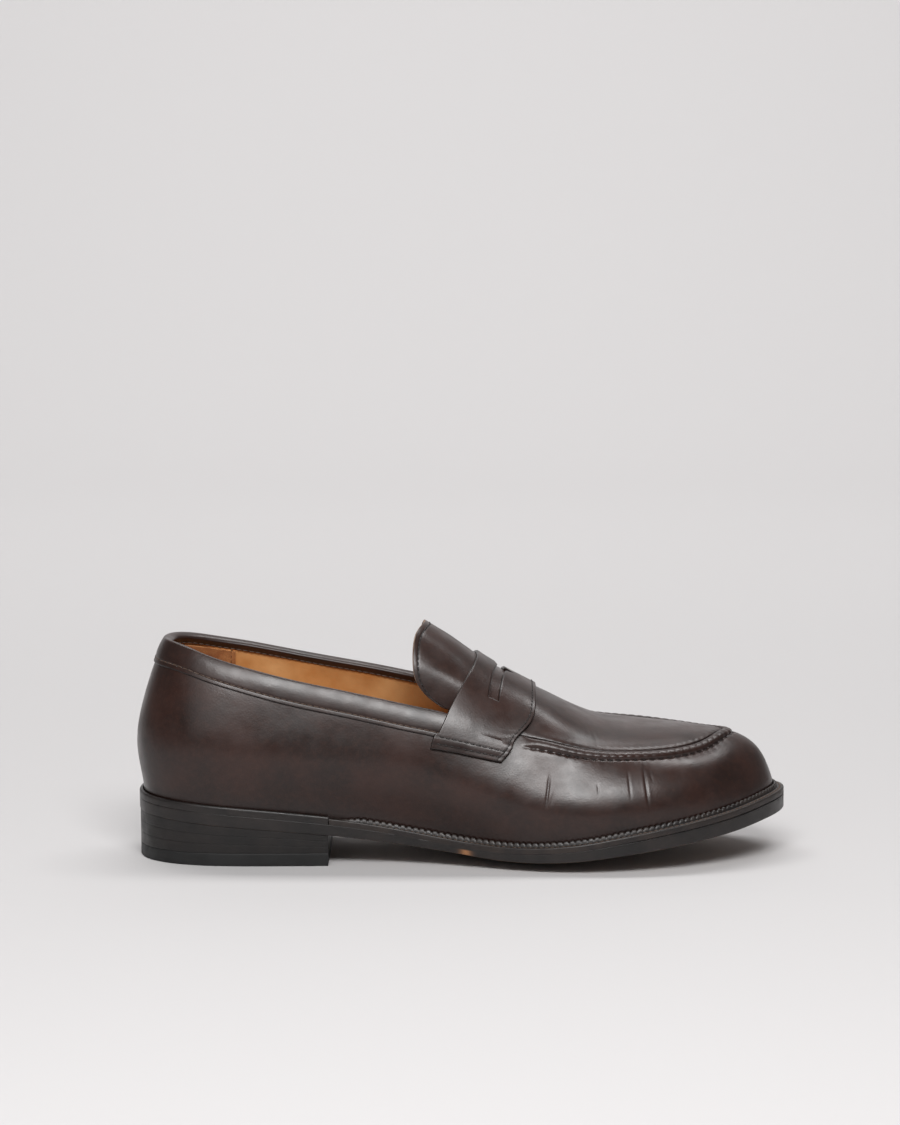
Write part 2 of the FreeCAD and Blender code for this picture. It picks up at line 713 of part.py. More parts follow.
def penny_slot():
    """Upright cutter: a slot across the strap with a pointed notch in the middle of its front edge."""
    point, half_notch = SLOT_NOTCH
    corners = [
        (SLOT_REAR[0], 0), (SLOT_REAR[1], -SLOT_HALF), (SLOT_FRONT[1], -SLOT_HALF),
        (SLOT_FRONT[0], -half_notch), (point, 0), (SLOT_FRONT[0], half_notch),
        (SLOT_FRONT[1], SLOT_HALF), (SLOT_REAR[1], SLOT_HALF),
    ]
    points = [Vector(x, y, 0) for x, y in corners]
    return Part.Face(Part.makePolygon(points + points[:1])).extrude(Vector(0, 0, FAR))


def thread_on(position, low):
    """Flat thread along position(i) -> (point, sideways direction, outward direction)."""
    sections = []
    for point, side, out in position:
        half = side * (THREAD / 2)
        base = point + out * low
        rise = out * THREAD_RISE
        sections.append([base - half, base + half, base + half + rise, base - half + rise])
    return sweep(sections)


def strap_frames(path):
    """Points, sideways and outward directions along a path of (t, share) pairs on the strap."""
    frames = []
    for t, share in path:
        here = strap_place(t, share)
        forward = strap_place(t, share + STEP) - strap_place(t, share - STEP)
        across = strap_place(t + STEP, share) - strap_place(t - STEP, share)
        out = forward.cross(across).normalize()
        frames.append((here, forward.normalize(), across.normalize(), out))
    return frames


TAB_ROWS = (0.965, 0.915)   # the tab's two stitch rows, as shares of its reach
EDGE_ROW = 0.93             # the row beside the strap's front edge, as a share of its width
EDGE_ROW_REACH = 0.87       # how far down to the tabs these run


def make_tab_stitching(side):
    """Two rows of thread across the end of one tab."""
    rows = []
    for reach in TAB_ROWS:
        path = [(side * reach, share) for share in spread(0.05, 0.95, 12)]
        frames = [(p, across, out) for p, _, across, out in strap_frames(path)]
        rows.append(thread_on(frames, STRAP_LIFT + STRAP + TOUCH))
    return Part.makeCompound(rows)


def make_edge_stitching():
    """One row of thread along the strap's front edge."""
    path = [(t, EDGE_ROW) for t in spread(-EDGE_ROW_REACH, EDGE_ROW_REACH, 40)]
    frames = [(p, forward, out) for p, forward, _, out in strap_frames(path)]
    return thread_on(frames, STRAP_LIFT + STRAP + TOUCH)


# ---- tongue -------------------------------------------------------------------------------
# Free edge of the tongue and the line where it bends, by the distance off the crown.
TONGUE_HALF = 28.0
tongue_free = along((0.0, -17.0), (8.0, -18.6), (16.0, -21.4), (22.0, -22.2), (26.0, -20.4), (28.0, -16.5))
TONGUE_ROW = 0.13        # the stitch row, as a share of the way from the free edge to the bend
TONGUE_ROW_HALF = 24.5   # the row's ends, off the crown
TONGUE_FOOT = 13.0       # x of the tongue's lower end under the strap
BEND_GAP = 3.2           # the bend, from the flap's end to the sewn down base
tongue_bend = along((0.0, 2.6), (14.0, 1.4), (28.0, -3.5))


def tongue_place(share, y):
    """Point on the tongue's flap: share runs from the free edge to the bend."""
    free = tongue_free(abs(y))
    x = free + (tongue_bend(abs(y)) - free) * share
    return Vector(x, y, crown(x, y))


TONGUE_MARGIN = 0.6      # the tongue's lining ends this far inside its edge
TONGUE_REACH = 20.0      # about how far the flap reaches back from the bend


def tongue_sheet(low, high, margin=0.0):
    half = TONGUE_HALF - margin
    return patch(tongue_place, spread(margin / TONGUE_REACH, 1, 9), spread(-half, half, 25), low, high)


def make_tongue_base():
    """The part of the tongue that is sewn down under the strap."""
    def position(share, y):
        rear = tongue_bend(abs(y)) + BEND_GAP
        x = rear + (TONGUE_FOOT - rear) * share
        return Vector(x, y, crown(x, y))
    return patch(position, spread(0, 1, 5), spread(-TONGUE_HALF, TONGUE_HALF, 25), -UPPER, 0)


def make_tongue_stitching():
    """Row of thread just inside the tongue's free edge."""
    frames = []
    for y in spread(-TONGUE_ROW_HALF, TONGUE_ROW_HALF, 33):
        share = TONGUE_ROW
        here = tongue_place(share, y)
        forward = (tongue_place(share + STEP, y) - tongue_place(share - STEP, y)).normalize()
        across = (tongue_place(share, y + STEP) - tongue_place(share, y - STEP)).normalize()
        frames.append((here, forward, forward.cross(across).normalize()))
    return thread_on(frames, TOUCH)


# ---- stitching on the wall ----------------------------------------------------------------
COLLAR_ROW_END = -14.0   # x of the collar row's ends
COLLAR_ROW = 0.22        # how far up the strip it runs, as a share of the strip's width


def make_collar_stitching():
    """Row of thread that holds the collar strip down just above its lower edge."""
    sections = []
    for s in spread(place_at(COLLAR_ROW_END, MEDIAL), place_at(COLLAR_ROW_END, LATERAL) + ROUND, 70):
        seam = collar_seam(s)
        top = wall(s, 1.0)
        lower = wall(s, seam)
        lean = (top - lower).normalize()
        _, out = outline_at(s)
        side = (out - lean * out.dot(lean)).normalize()
        bulge = (wall(s, (1 + seam) / 2) - (top + lower) / 2).dot(side)
        here = lower + (top - lower) * COLLAR_ROW + side * (bulge * 2 * COLLAR_ROW)
        base = here + side * (COLLAR + TOUCH)
        half = lean * (THREAD / 2)
        rise = side * THREAD_RISE
        sections.append([base - half, base + half, base + half + rise, base - half + rise])
    return sweep(sections)


# ---- write every piece --------------------------------------------------------------------
os.makedirs("parts", exist_ok=True)


def write(name, shape):
    shape.exportStep(os.path.join("parts", name + ".step"))
    box = shape.BoundBox
    print("%-28s solids %2d valid %s vol %9.1f  x %7.1f %7.1f y %6.1f %6.1f z %6.1f %6.1f" % (
        name, len(shape.Solids), shape.isValid(), shape.Volume, box.XMin, box.XMax,
        box.YMin, box.YMax, box.ZMin, box.ZMax))


def wall_range(x, y, side):
    """Places along one side between x and y, in order round the outline."""
    return sorted((place_at(x, side), place_at(y, side)))


write("outsole", make_outsole())
write("heel_top_piece", make_top_piece())
for number in range(HEEL_LIFTS):
    write("heel_lift_%d" % (number + 1), make_heel_lift(number))
write("heel_nails", make_heel_nails())
write("heel_top_piece_nails", make_top_piece_nails())
write("welt", make_welt())
write("heel_rand", make_heel_rand())
write("outsole_stitching", make_outsole_stitching())
write("insole", make_insole())
write("sock_liner", make_sock_liner())
write("insole_rib", make_insole_rib())
write("cork_filler", make_cork_filler())
write("shank", make_shank())
write("upper_wall", make_upper_wall())
write("collar_strip", make_collar_strip())
write("collar_stitching", make_collar_stitching())
write("apron", make_apron())
write("apron_lining", make_apron_lining())
write("apron_seam_thread", make_apron_seam_thread())
write("saddle_strap", make_saddle_strap())
write("saddle_tab_stitching_lateral", make_tab_stitching(LATERAL))
write("saddle_tab_stitching_medial", make_tab_stitching(MEDIAL))
write("saddle_edge_stitching", make_edge_stitching())
write("tongue_flap", tongue_sheet(-UPPER, 0.0))
write("tongue_flap_lining", tongue_sheet(-UPPER - TOUCH - LINING, -UPPER - TOUCH, TONGUE_MARGIN))
write("tongue_base", make_tongue_base())
write("tongue_edge_stitching", make_tongue_stitching())
write("heel_counter", wall_sheet(place_at(COUNTER_END, MEDIAL), place_at(COUNTER_END, LATERAL) + ROUND,
                                 STIFFENER_LOW, COUNTER_TOP, BACK - BACKING, BACK))
write("toe_puff", wall_sheet(place_at(PUFF_START, LATERAL), place_at(PUFF_START, MEDIAL),
                             STIFFENER_LOW, PUFF_TOP, BACK - BACKING, BACK))
for word, side in (("lateral", LATERAL), ("medial", MEDIAL)):
    first, last = wall_range(COUNTER_END + BACKING_GAP, PUFF_START - BACKING_GAP, side)
    write("interlining_" + word, wall_sheet(first, last, STIFFENER_LOW, PUFF_TOP, BACK - BACKING, BACK))
    front = place_at(QUARTER_FRONT, side)
    ends = (BACK_GAP, front) if side == LATERAL else (front, ROUND - BACK_GAP)
    write("quarter_lining_" + word, wall_sheet(*ends, LINING_LOW, QUARTER_TOP, INNER - LINING, INNER))
write("vamp_lining", wall_sheet(place_at(VAMP_REAR, LATERAL), place_at(VAMP_REAR, MEDIAL),
                                LINING_LOW, VAMP_TOP, INNER - LINING, INNER))
write("heel_grip", wall_sheet(place_at(GRIP_FRONT, MEDIAL), place_at(GRIP_FRONT, LATERAL) + ROUND,
                              *GRIP_HEIGHTS, INNER - 2 * LINING - PLY_GAP, INNER - LINING - PLY_GAP))
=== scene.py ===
import math

import bpy
import numpy as np
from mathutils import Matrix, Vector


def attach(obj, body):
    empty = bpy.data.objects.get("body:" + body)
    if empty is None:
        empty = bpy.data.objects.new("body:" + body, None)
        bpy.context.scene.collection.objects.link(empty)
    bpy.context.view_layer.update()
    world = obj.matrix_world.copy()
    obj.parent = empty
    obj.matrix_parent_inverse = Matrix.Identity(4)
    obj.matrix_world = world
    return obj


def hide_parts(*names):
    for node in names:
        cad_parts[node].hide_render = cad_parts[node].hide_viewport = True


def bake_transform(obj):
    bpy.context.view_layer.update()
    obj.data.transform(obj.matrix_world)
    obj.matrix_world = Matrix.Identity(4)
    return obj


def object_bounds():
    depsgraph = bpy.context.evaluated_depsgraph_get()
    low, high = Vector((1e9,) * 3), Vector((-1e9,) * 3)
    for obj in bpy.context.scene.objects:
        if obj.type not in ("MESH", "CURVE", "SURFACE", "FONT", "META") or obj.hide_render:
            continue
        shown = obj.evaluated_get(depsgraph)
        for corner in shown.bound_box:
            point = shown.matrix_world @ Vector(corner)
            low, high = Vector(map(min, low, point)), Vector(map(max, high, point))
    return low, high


# Penny loafer, right foot. The tables below are in millimetres and become metres where a mesh is made.
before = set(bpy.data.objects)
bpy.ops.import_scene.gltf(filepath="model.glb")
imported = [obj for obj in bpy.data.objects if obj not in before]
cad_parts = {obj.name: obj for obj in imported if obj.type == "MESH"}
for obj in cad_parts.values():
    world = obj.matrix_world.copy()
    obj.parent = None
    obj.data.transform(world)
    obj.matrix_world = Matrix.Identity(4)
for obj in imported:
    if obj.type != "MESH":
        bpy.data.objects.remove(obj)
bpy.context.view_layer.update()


# ---- Insole and rib --------------------------------------------------------------------------
# The insole is vegetable tanned leather cut to the last. A linen canvas rib is glued under its
# rim, and the upper, the linings and the welt are all sewn to that rib.
def linear(code):
    """A colour written as sRGB hex, in the linear values that shaders use."""
    shares = [int(code[i:i + 2], 16) / 255 for i in (1, 3, 5)]
    return [s / 12.92 if s <= 0.04045 else ((s + 0.055) / 1.055) ** 2.4 for s in shares] + [1.0]


def fill(node, inputs):
    """Gives a node its input values and its links."""
    for key, value in inputs.items():
        if isinstance(value, bpy.types.NodeSocket):
            node.id_data.links.new(value, node.inputs[key])
        else:
            node.inputs[key].default_value = value


def add(tree, kind, inputs, out=0, **settings):
    """Adds a node with its settings, its input values and its links, and gives one of its outputs."""
    node = tree.nodes.new(kind)
    for key, value in settings.items():
        setattr(node, key, value)
    fill(node, inputs)
    return node.outputs[out]


def start_material(name):
    """A new material, its tree, its shader and its Object coordinates in millimetres."""
    made = bpy.data.materials.new(name)
    made.use_nodes = True
    tree = made.node_tree
    place = add(tree, "ShaderNodeTexCoord", {}, "Object")
    mm = add(tree, "ShaderNodeVectorMath", {0: place, "Scale": 1000.0}, operation="SCALE")
    return made, tree, tree.nodes["Principled BSDF"], mm


def embossed(tree, mm, layers):
    """Relief built up from layers of (pattern, depth in mm). A pattern is a node's output, or the
    size in mm and the detail of soft uneven grain."""
    under = {}
    for pattern, depth in layers:
        if isinstance(pattern, tuple):
            size, detail = pattern
            pattern = add(tree, "ShaderNodeTexNoise", {"Vector": mm, "Scale": 1 / size, "Detail": detail})
        relief = add(tree, "ShaderNodeBump", {"Height": pattern, "Distance": depth / 1000, **under})
        under = {"Normal": relief}
    return relief


def fibrous(name, dark, light, rough, size=1.5, depth=0.05):
    """Matt fibrous matter, such as flesh side leather, canvas, board and cork. Its fibres or grains
    are size mm across and stand depth mm high, with broader lighter and darker patches."""
    made, tree, shader, mm = start_material(name)
    fine = add(tree, "ShaderNodeTexNoise", {"Vector": mm, "Scale": 1 / size, "Detail": 5.0})
    broad = add(tree, "ShaderNodeTexNoise", {"Vector": mm, "Scale": 1 / (9 * size), "Detail": 2.0})
    broad = add(tree, "ShaderNodeMapRange", {0: broad, 1: 0.3, 2: 0.7})
    both = add(tree, "ShaderNodeMath", {0: fine, 1: broad}, operation="MULTIPLY")
    share = add(tree, "ShaderNodeMapRange", {0: both, 1: 0.05, 2: 0.6})
    colour = add(tree, "ShaderNodeMix", {0: share, 6: linear(dark), 7: linear(light)}, 2, data_type="RGBA")
    fill(shader, {"Base Color": colour, "Roughness": rough, "Normal": embossed(tree, mm, [(fine, depth)])})
    return made


def finish_node(name, made):
    """Gives a CAD piece that stays as it is its own finish."""
    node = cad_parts[name]
    node.data.materials.clear()
    node.data.materials.append(made)


finish_node("insole", fibrous("insole_leather_flesh_side", "#a8794c", "#c99a68", 0.75))
canvas = fibrous("linen_canvas_glued", "#9c9078", "#cdc3ab", 0.9, 0.8, 0.08)
finish_node("insole_rib", canvas)

# ---- Quarters and mudguard -------------------------------------------------------------------
# One length of smooth box calf runs round the foot and closes in the back seam. It is lasted over
# the toe, gathered along the apron and creased where the forefoot bends.
WELT = 2.8
UPPER = 1.4
RIDGE_HALF = 2.25        # the rolled ridge beside the apron is 4.5 mm wide
RIDGE_HEIGHT = 1.15
RIDGE_MIDDLE = 1.9       # its middle, inwards from the wall's top edge
RIDGE_END = 4.5
APRON_EDGE = 4.3         # where the apron's cut edge lies against the ridge
PUCKER_PITCH = 4.0       # one gather per hand stitch


def slopes(places, values):
    """Slopes at the knots of smooth curves: places (n, k) and values (n, k, d)."""
    gap = np.diff(places, axis=1)
    rise = np.diff(values, axis=1) / gap[..., None]
    n, k = places.shape
    system = np.zeros((n, k, k))
    right = np.zeros(values.shape)
    i = np.arange(1, k - 1)
    system[:, i, i - 1] = 1 / gap[:, :-1]
    system[:, i, i] = 2 / gap[:, :-1] + 2 / gap[:, 1:]
    system[:, i, i + 1] = 1 / gap[:, 1:]
    right[:, 1:-1] = 3 * (rise[:, :-1] / gap[:, :-1, None] + rise[:, 1:] / gap[:, 1:, None])
    system[:, 0, 0] = system[:, -1, -1] = 1
    for end, beside in ((0, 1), (-1, -2)):
        share = gap[:, end] / (gap[:, end] + gap[:, beside])
        right[:, end] = rise[:, end] + (rise[:, end] - rise[:, beside]) * share[:, None]
    return np.linalg.solve(system, right)


def curve_at(places, values, bend, t):
    """Points at t (n, m) on the smooth curves."""
    span = (t[:, :, None] >= places[:, None, :]).sum(2) - 1
    span = np.clip(span, 0, places.shape[1] - 2)
    left, right = (np.take_along_axis(places, span + i, 1)[..., None] for i in (0, 1))
    gap = right - left
    u = (t[..., None] - left) / gap
    p0, p1 = (np.take_along_axis(values, (span + i)[..., None], 1) for i in (0, 1))
    m0, m1 = (np.take_along_axis(bend, (span + i)[..., None], 1) for i in (0, 1))
    return (p0 * (1 + 2 * u) * (1 - u) ** 2 + m0 * gap * u * (1 - u) ** 2
            + p1 * u * u * (3 - 2 * u) + m1 * gap * u * u * (u - 1))


def along(*pairs):
    """A smooth function of x through the given (x, value) pairs, level past both ends."""
    places, values = np.array(pairs, float).T
    places, values = places[None], values[None, :, None]
    bend = slopes(places, values)

    def at(x):
        x = np.clip(x, places[0, 0], places[0, -1])
        return curve_at(places, values, bend, np.reshape(x, (1, -1))).reshape(np.shape(x))
    return at


def smooth_step(value, low, high):
    """From 0 at low to 1 at high, level past both."""
    share = np.clip((value - low) / (high - low), 0, 1)
    return share * share * (3 - 2 * share)


def length_of(vector):
    return np.sqrt((vector ** 2).sum(-1, keepdims=True))


def chords(points):
    """Distance along each row of points (n, k, 3)."""
    gaps = length_of(np.diff(points, axis=1))[..., 0]
    return np.concatenate([np.zeros((len(points), 1)), np.cumsum(gaps, axis=1)], axis=1)


# The last: plan outline of the outsole from the back of the heel round the lateral side.
OUTLINE = np.array([
    (-149.4, 0.0), (-144.5, -18.5), (-128.0, -30.8), (-98.0, -35.2), (-62.0, -34.4),
    (-30.0, -34.2), (0.0, -39.2), (28.0, -48.0), (56.0, -52.8), (86.0, -49.6),
    (114.0, -39.0), (137.0, -21.0), (149.6, 3.0), (141.5, 25.5), (120.0, 41.0),
    (92.0, 50.2), (62.0, 53.4), (34.0, 49.2), (4.0, 38.2), (-28.0, 32.0),
    (-62.0, 33.4), (-98.0, 35.2), (-128.0, 30.8), (-144.5, 18.5),
])
steps = length_of(np.roll(OUTLINE, -1, axis=0) - OUTLINE)[:, 0]
ROUND = steps.sum()
TOE_KNOT = 12            # the outline's point at the tip of the toe
TOE = steps[:TOE_KNOT].sum()
knots = np.cumsum(np.concatenate([[0], np.tile(steps, 3)]))[None] - ROUND
looped = np.concatenate([np.tile(OUTLINE, (3, 1)), OUTLINE[:1]])[None]
looped_bend = slopes(knots, looped)

# Sole profile along the shoe: lower edge, thickness, belly under the middle, half width.
sole_edge = along((-150, 22.0), (-106, 18.2), (-61, 14.2), (-46, 12.5), (-21, 9.0), (0, 6.3), (14, 5.0),
                  (28, 4.6), (41, 5.1), (57, 6.6), (71, 8.6), (85, 10.5), (113, 14.4), (128, 16.9),
                  (142, 19.6), (150, 20.8))
outsole = along((-150, 5.0), (-61, 5.0), (-30, 4.2), (0, 3.5), (28, 3.9), (60, 5.0), (100, 6.2), (150, 6.5))
sole_belly = along((-150, 0.0), (-100, 0.0), (-61, 0.2), (-30, 2.0), (0, 4.0), (28, 4.6), (41, 4.9),
                   (57, 5.0), (85, 4.4), (115, 3.2), (132, 1.8), (143, 0.7), (150, 0.0))
sole_half = along((-150, 34.0), (-61, 34.0), (-30, 33.0), (0, 38.0), (28, 48.0), (58, 53.0), (90, 50.0),
                  (114, 40.0), (130, 30.0), (142, 20.0), (150, 16.0))
welt_width = along((-150, 2.2), (-61, 2.8), (-30, 3.2), (10, 4.2), (50, 5.0), (100, 5.0), (150, 5.4))
# The wall's rows: how far each stands outside the feather line, and its height.
bulge_out = along((-148, 2.9), (-120, 4.2), (-90, 5.0), (-60, 6.2), (-30, 7.8), (0, 7.2), (30, 2.4),
                  (60, 0.7), (90, 0.2), (120, -0.6), (146, -1.6))
bulge_height = along((-148, 50.0), (-120, 48.0), (-90, 46.0), (-60, 44.0), (-30, 41.0), (0, 36.0),
                     (30, 30.0), (60, 27.0), (90, 29.0), (120, 33.0), (146, 38.0))
shoulder_out = along((-148, -1.1), (-120, 0.8), (-90, 2.2), (-60, 4.2), (-30, 6.4), (0, 4.2), (30, -3.2),
                     (60, -5.2), (90, -5.4), (120, -5.6), (146, -6.6))
shoulder_height = along((-148, 76.0), (-120, 71.5), (-90, 67.0), (-60, 63.5), (-30, 59.5), (0, 53.0),
                        (30, 44.5), (60, 40.5), (90, 41.5), (120, 44.5), (146, 47.5))
top_out = along((-148, -10.2), (-118, -8.6), (-101, -6.6), (-78, -3.6), (-57, -1.4), (-37, 0.6),
                (-20, 0.6), (-8, -0.4), (8, -3.6), (25, -7.8), (36, -9.6), (48, -11.4), (60, -12.6),
                (84, -14.0), (110, -15.2), (130, -17.0), (146, -19.4))
topline_height = along((-148, 99.9), (-132, 98.4), (-118, 94.6), (-101, 90.0), (-78, 84.3),
                       (-57, 80.0), (-37, 75.9), (-20, 72.4), (-8, 69.8), (8, 63.5))
medial_rise = along((-148, 0.0), (-130, 0.8), (-118, 2.2), (-99, 4.0), (-59, 5.2), (-30, 5.6), (-16, 5.2),
                    (0, 3.6), (12, 3.0))
# The instep's crown, and how far its section has dropped 30 mm to either side.
crown_height = along((-26, 113.2), (-17, 107.8), (-11, 103.8), (-5, 100.0), (0, 96.6), (6, 92.2),
                     (14, 87.0), (24, 81.4), (34, 76.1), (45, 70.4), (56, 64.9), (64, 62.1), (74, 60.4),
                     (90, 59.1), (106, 57.9), (118, 56.6), (128, 54.6), (140, 51.0))
crown_drop = along((-26, 32.0), (-8, 24.5), (8, 19.5), (25, 16.0), (36, 12.4), (48, 9.8), (60, 7.7),
                   (72, 7.1), (84, 8.0), (96, 10.2), (108, 15.5), (120, 28.0), (140, 60.0))
medial_flat = along((30, 0.0), (62, 0.42), (104, 0.42), (122, 0.25), (136, 0.0))
crown_side = along((-26, 0.0), (30, 0.0), (80, 0.5), (128, 3.0), (140, 3.0))


def crown(x, y):
    """Height of the instep and apron over a plan point."""
    off = y - crown_side(x)
    drop = crown_drop(x) * (1 - medial_flat(x) * (off > 0)) * (np.abs(off) / 30) ** 2.4
    return crown_height(x) + 0.045 * off - drop


def outline_at(s):
    """Plan points and outward directions of the outline at places s (n,)."""
    def at(t):
        return curve_at(knots, looped, looped_bend, np.mod(t, ROUND)[None])[0]
    step = at(s + 0.01) - at(s - 0.01)
    step /= length_of(step)
    return at(s), np.stack([step[:, 1], -step[:, 0]], axis=1)


def eased_out(s):
    """Outward directions for the upper rows, which turn more slowly round the toe."""
    point, out = outline_at(s)
    wide = sum(outline_at(s + d)[1] for d in (-21, -14, -7, 0, 7, 14, 21)) / 7
    eased = out + (wide - out) * smooth_step(point[:, :1], 70, 105)
    return eased / length_of(eased)


dense = np.linspace(0, ROUND, 8001)
dense_x = outline_at(dense)[0][:, 0]


def place_at(x, side):
    """The outline's place where it reaches x on the lateral (-1) or medial (1) side."""
    half = dense <= TOE if side < 0 else dense >= TOE
    order = 1 if side < 0 else -1
    return np.interp(x, dense_x[half][::order], dense[half][::order])


def wall(s, v):
    """Points of the wall's outer face: s (n,) round the outline, v (m,) or (n, m) up from the welt."""
    point, out = outline_at(s)
    foot = point - out * welt_width(point[:, 0])[:, None]
    x = foot[:, 0]
    base = sole_edge(x) + outsole(x)
    eased = eased_out(s)
    top = foot + eased * top_out(x)[:, None]
    rear = topline_height(x) + medial_rise(x) * (np.mod(s, ROUND) > TOE)
    share = smooth_step(x, -12, 8)
    height = rear * (1 - share) + crown(top[:, 0], top[:, 1]) * share
    rows = [(0 * x, base + 0.2), (0 * x + 0.25, base + WELT + 1.6), (bulge_out(x), bulge_height(x)),
            (shoulder_out(x), shoulder_height(x)), (top_out(x), height)]
    ways = (out, out, out, (out + eased) / 2, eased)
    ribs = np.stack([np.column_stack([foot + way * reach[:, None], level])
                     for way, (reach, level) in zip(ways, rows)], axis=1)
    places = chords(ribs)
    places = places / places[:, -1:]
    return curve_at(places, ribs, slopes(places, ribs), np.broadcast_to(v, (len(s), np.shape(v)[-1])))


def normals(grid):
    """Directions square to a grid of points, from the differences of its neighbours."""
    cross = np.cross(np.gradient(grid, axis=0), np.gradient(grid, axis=1))
    return cross / np.maximum(length_of(cross), 1e-9)


def ripple(points, size, seed):
    """Soft uneven relief from -1 to 1 over points, about size mm across."""
    random = np.random.default_rng(seed)
    total = 0
    for _ in range(9):
        heading = random.normal(size=3)
        heading *= 2 * math.pi / size * random.uniform(0.6, 1.5) / np.linalg.norm(heading)
        total = total + np.sin(points @ heading + random.uniform(0, 6.28))
    return total / 4


def new_mesh(name, points, faces, shade=None, bands=None):
    """A smooth mesh object from points in mm. It is turned outwards if its faces point inwards."""
    a, b, c, d = (points[faces[:, i]] for i in range(4))
    volume = (a * np.cross(b, c)).sum() + (a * np.cross(c, d)).sum()
    if volume < 0:
        faces = faces[:, ::-1]
    mesh = bpy.data.meshes.new(name)
    mesh.from_pydata((points / 1000).tolist(), [], faces.tolist())
    mesh.polygons.foreach_set("use_smooth", np.ones(len(faces), bool))
    if bands is not None:
        mesh.polygons.foreach_set("material_index", bands.astype(np.int32))
    mesh.set_sharp_from_angle(angle=math.radians(50))
    paint = mesh.attributes.new("shade", "FLOAT", "POINT")
    paint.data.foreach_set("value", np.zeros(len(points)) if shade is None else np.ravel(shade))
    made = bpy.data.objects.new(name, mesh)
    bpy.context.scene.collection.objects.link(made)
    return made


def build(name, rings, ends="zip", shade=None, bands=None):
    """A closed mesh through closed rings of points (n, k, 3). End rings are zipped shut or joined.
    Bands says which material each of a ring's k strips takes."""
    rings = np.asarray(rings, float)
    count, size = rings.shape[:2]
    index = np.arange(count * size).reshape(count, size)
    low, high = (index, np.roll(index, -1, axis=0)) if ends == "joined" else (index[:-1], index[1:])
    faces = np.stack([low, np.roll(low, -1, 1), np.roll(high, -1, 1), high], axis=-1).reshape(-1, 4)
    picks = None if bands is None else np.tile(bands, len(low))
    if ends == "zip":
        i = np.arange(size // 2 - 1)
        for row, order in ((index[0], -1), (index[-1], 1)):
            cap = np.stack([row[i], row[i + 1], row[size - 2 - i], row[size - 1 - i]], axis=-1)
            faces = np.concatenate([faces, cap[:, ::order]])
            if picks is not None:
                picks = np.concatenate([picks, np.zeros(len(cap))])
    return new_mesh(name, rings.reshape(-1, 3), faces, shade, picks)


def dress(piece, body, slot, materials, *nodes):
    """Gives a piece its materials and its place on a body; it stands for the CAD nodes."""
    for made in materials:
        piece.data.materials.append(made)
    if body:
        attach(piece, body)
    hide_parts(*nodes)


def clouded(tree, mm, size, low, high, first, second, most=1.0, detail=4.0):
    """A colour that drifts between two others in clouds about size mm across. Low and high are the
    noise at which it starts and ends to turn into the second, and most is how far it turns."""
    cloud = add(tree, "ShaderNodeTexNoise", {"Vector": mm, "Scale": 1 / size, "Detail": detail})
    share = add(tree, "ShaderNodeMapRange", {0: cloud, 1: low, 2: high, 4: most})
    return add(tree, "ShaderNodeMix", {0: share, 6: first, 7: second}, 2, data_type="RGBA")


def uneven_shine(tree, mm, size, low, high, smooth, rough):
    """Roughness from smooth to rough in patches about size mm across."""
    patch = add(tree, "ShaderNodeTexNoise", {"Vector": mm, "Scale": 1 / size, "Detail": 3.0})
    return add(tree, "ShaderNodeMapRange", {0: patch, 1: low, 2: high, 3: smooth, 4: rough})


def calf_finish(name, deep, brown, glaze, rough):
    """Smooth aniline calf with a waxed finish: cloudy dye, fine grain, and painted shade that darkens its
    folds, grooves and seams.
    """
    made, tree, shader, mm = start_material(name)
    dye = clouded(tree, mm, 22, 0.34, 0.66, linear(deep), linear(brown))
    dye = clouded(tree, mm, 2.6, 0.45, 0.75, dye, linear(glaze), 0.35)
    # The shade attribute is painted shade: it turns the dye towards near black.
    shade_attribute = add(tree, "ShaderNodeAttribute", {}, "Fac", attribute_name="shade")
    dye = add(tree, "ShaderNodeMix", {0: shade_attribute, 6: dye, 7: linear("#0d0807")}, 2, data_type="RGBA")
    wax = uneven_shine(tree, mm, 9, 0.3, 0.7, rough - 0.05, rough + 0.07)
    # The hair cells are drawn at 0.9 mm, about three times their real size.
    cells = add(tree, "ShaderNodeTexVoronoi", {"Vector": mm, "Scale": 1 / 0.9}, feature="F1")
    relief = embossed(tree, mm, [(cells, 0.018), ((3.2, 3.0), 0.035), ((12, 2.0), 0.12)])
    fill(shader, {"Base Color": dye, "Roughness": wax, "Normal": relief, "IOR": 1.5,
                  "Coat Weight": 0.06, "Coat Roughness": 0.2})
    return made


calf = calf_finish("box_calf_dark_brown_waxed", "#1d0e09", "#2e1811", "#3b231a", 0.34)

# Columns round the outline: wide apart along the quarters and close together at the gathers.
front_lateral, front_medial = place_at(8, -1), place_at(8, 1)
columns = np.concatenate([
    np.linspace(0, front_lateral, 130, endpoint=False),
    np.linspace(front_lateral, front_medial, 720, endpoint=False),
    np.linspace(front_medial, ROUND, 130, endpoint=False),
])
BREAK = 0.89             # the ridge's rows take over from here up


def seam_frame(s):
    """Top edge of the wall, inward direction in plan and the seam's length so far."""
    top = wall(s, np.array([1.0]))[:, 0]
    inward = -eased_out(s)
    run = chords(top[None])[0]
    return top, inward, run


def inside_top(s, d):
    """Points on the instep d (m,) mm inside the wall's top edge."""
    top, inward, _ = seam_frame(s)
    plan = top[:, None, :2] + inward[:, None] * np.asarray(d, float)[None, :, None]
    return np.concatenate([plan, crown(plan[..., 0], plan[..., 1])[..., None]], axis=2)


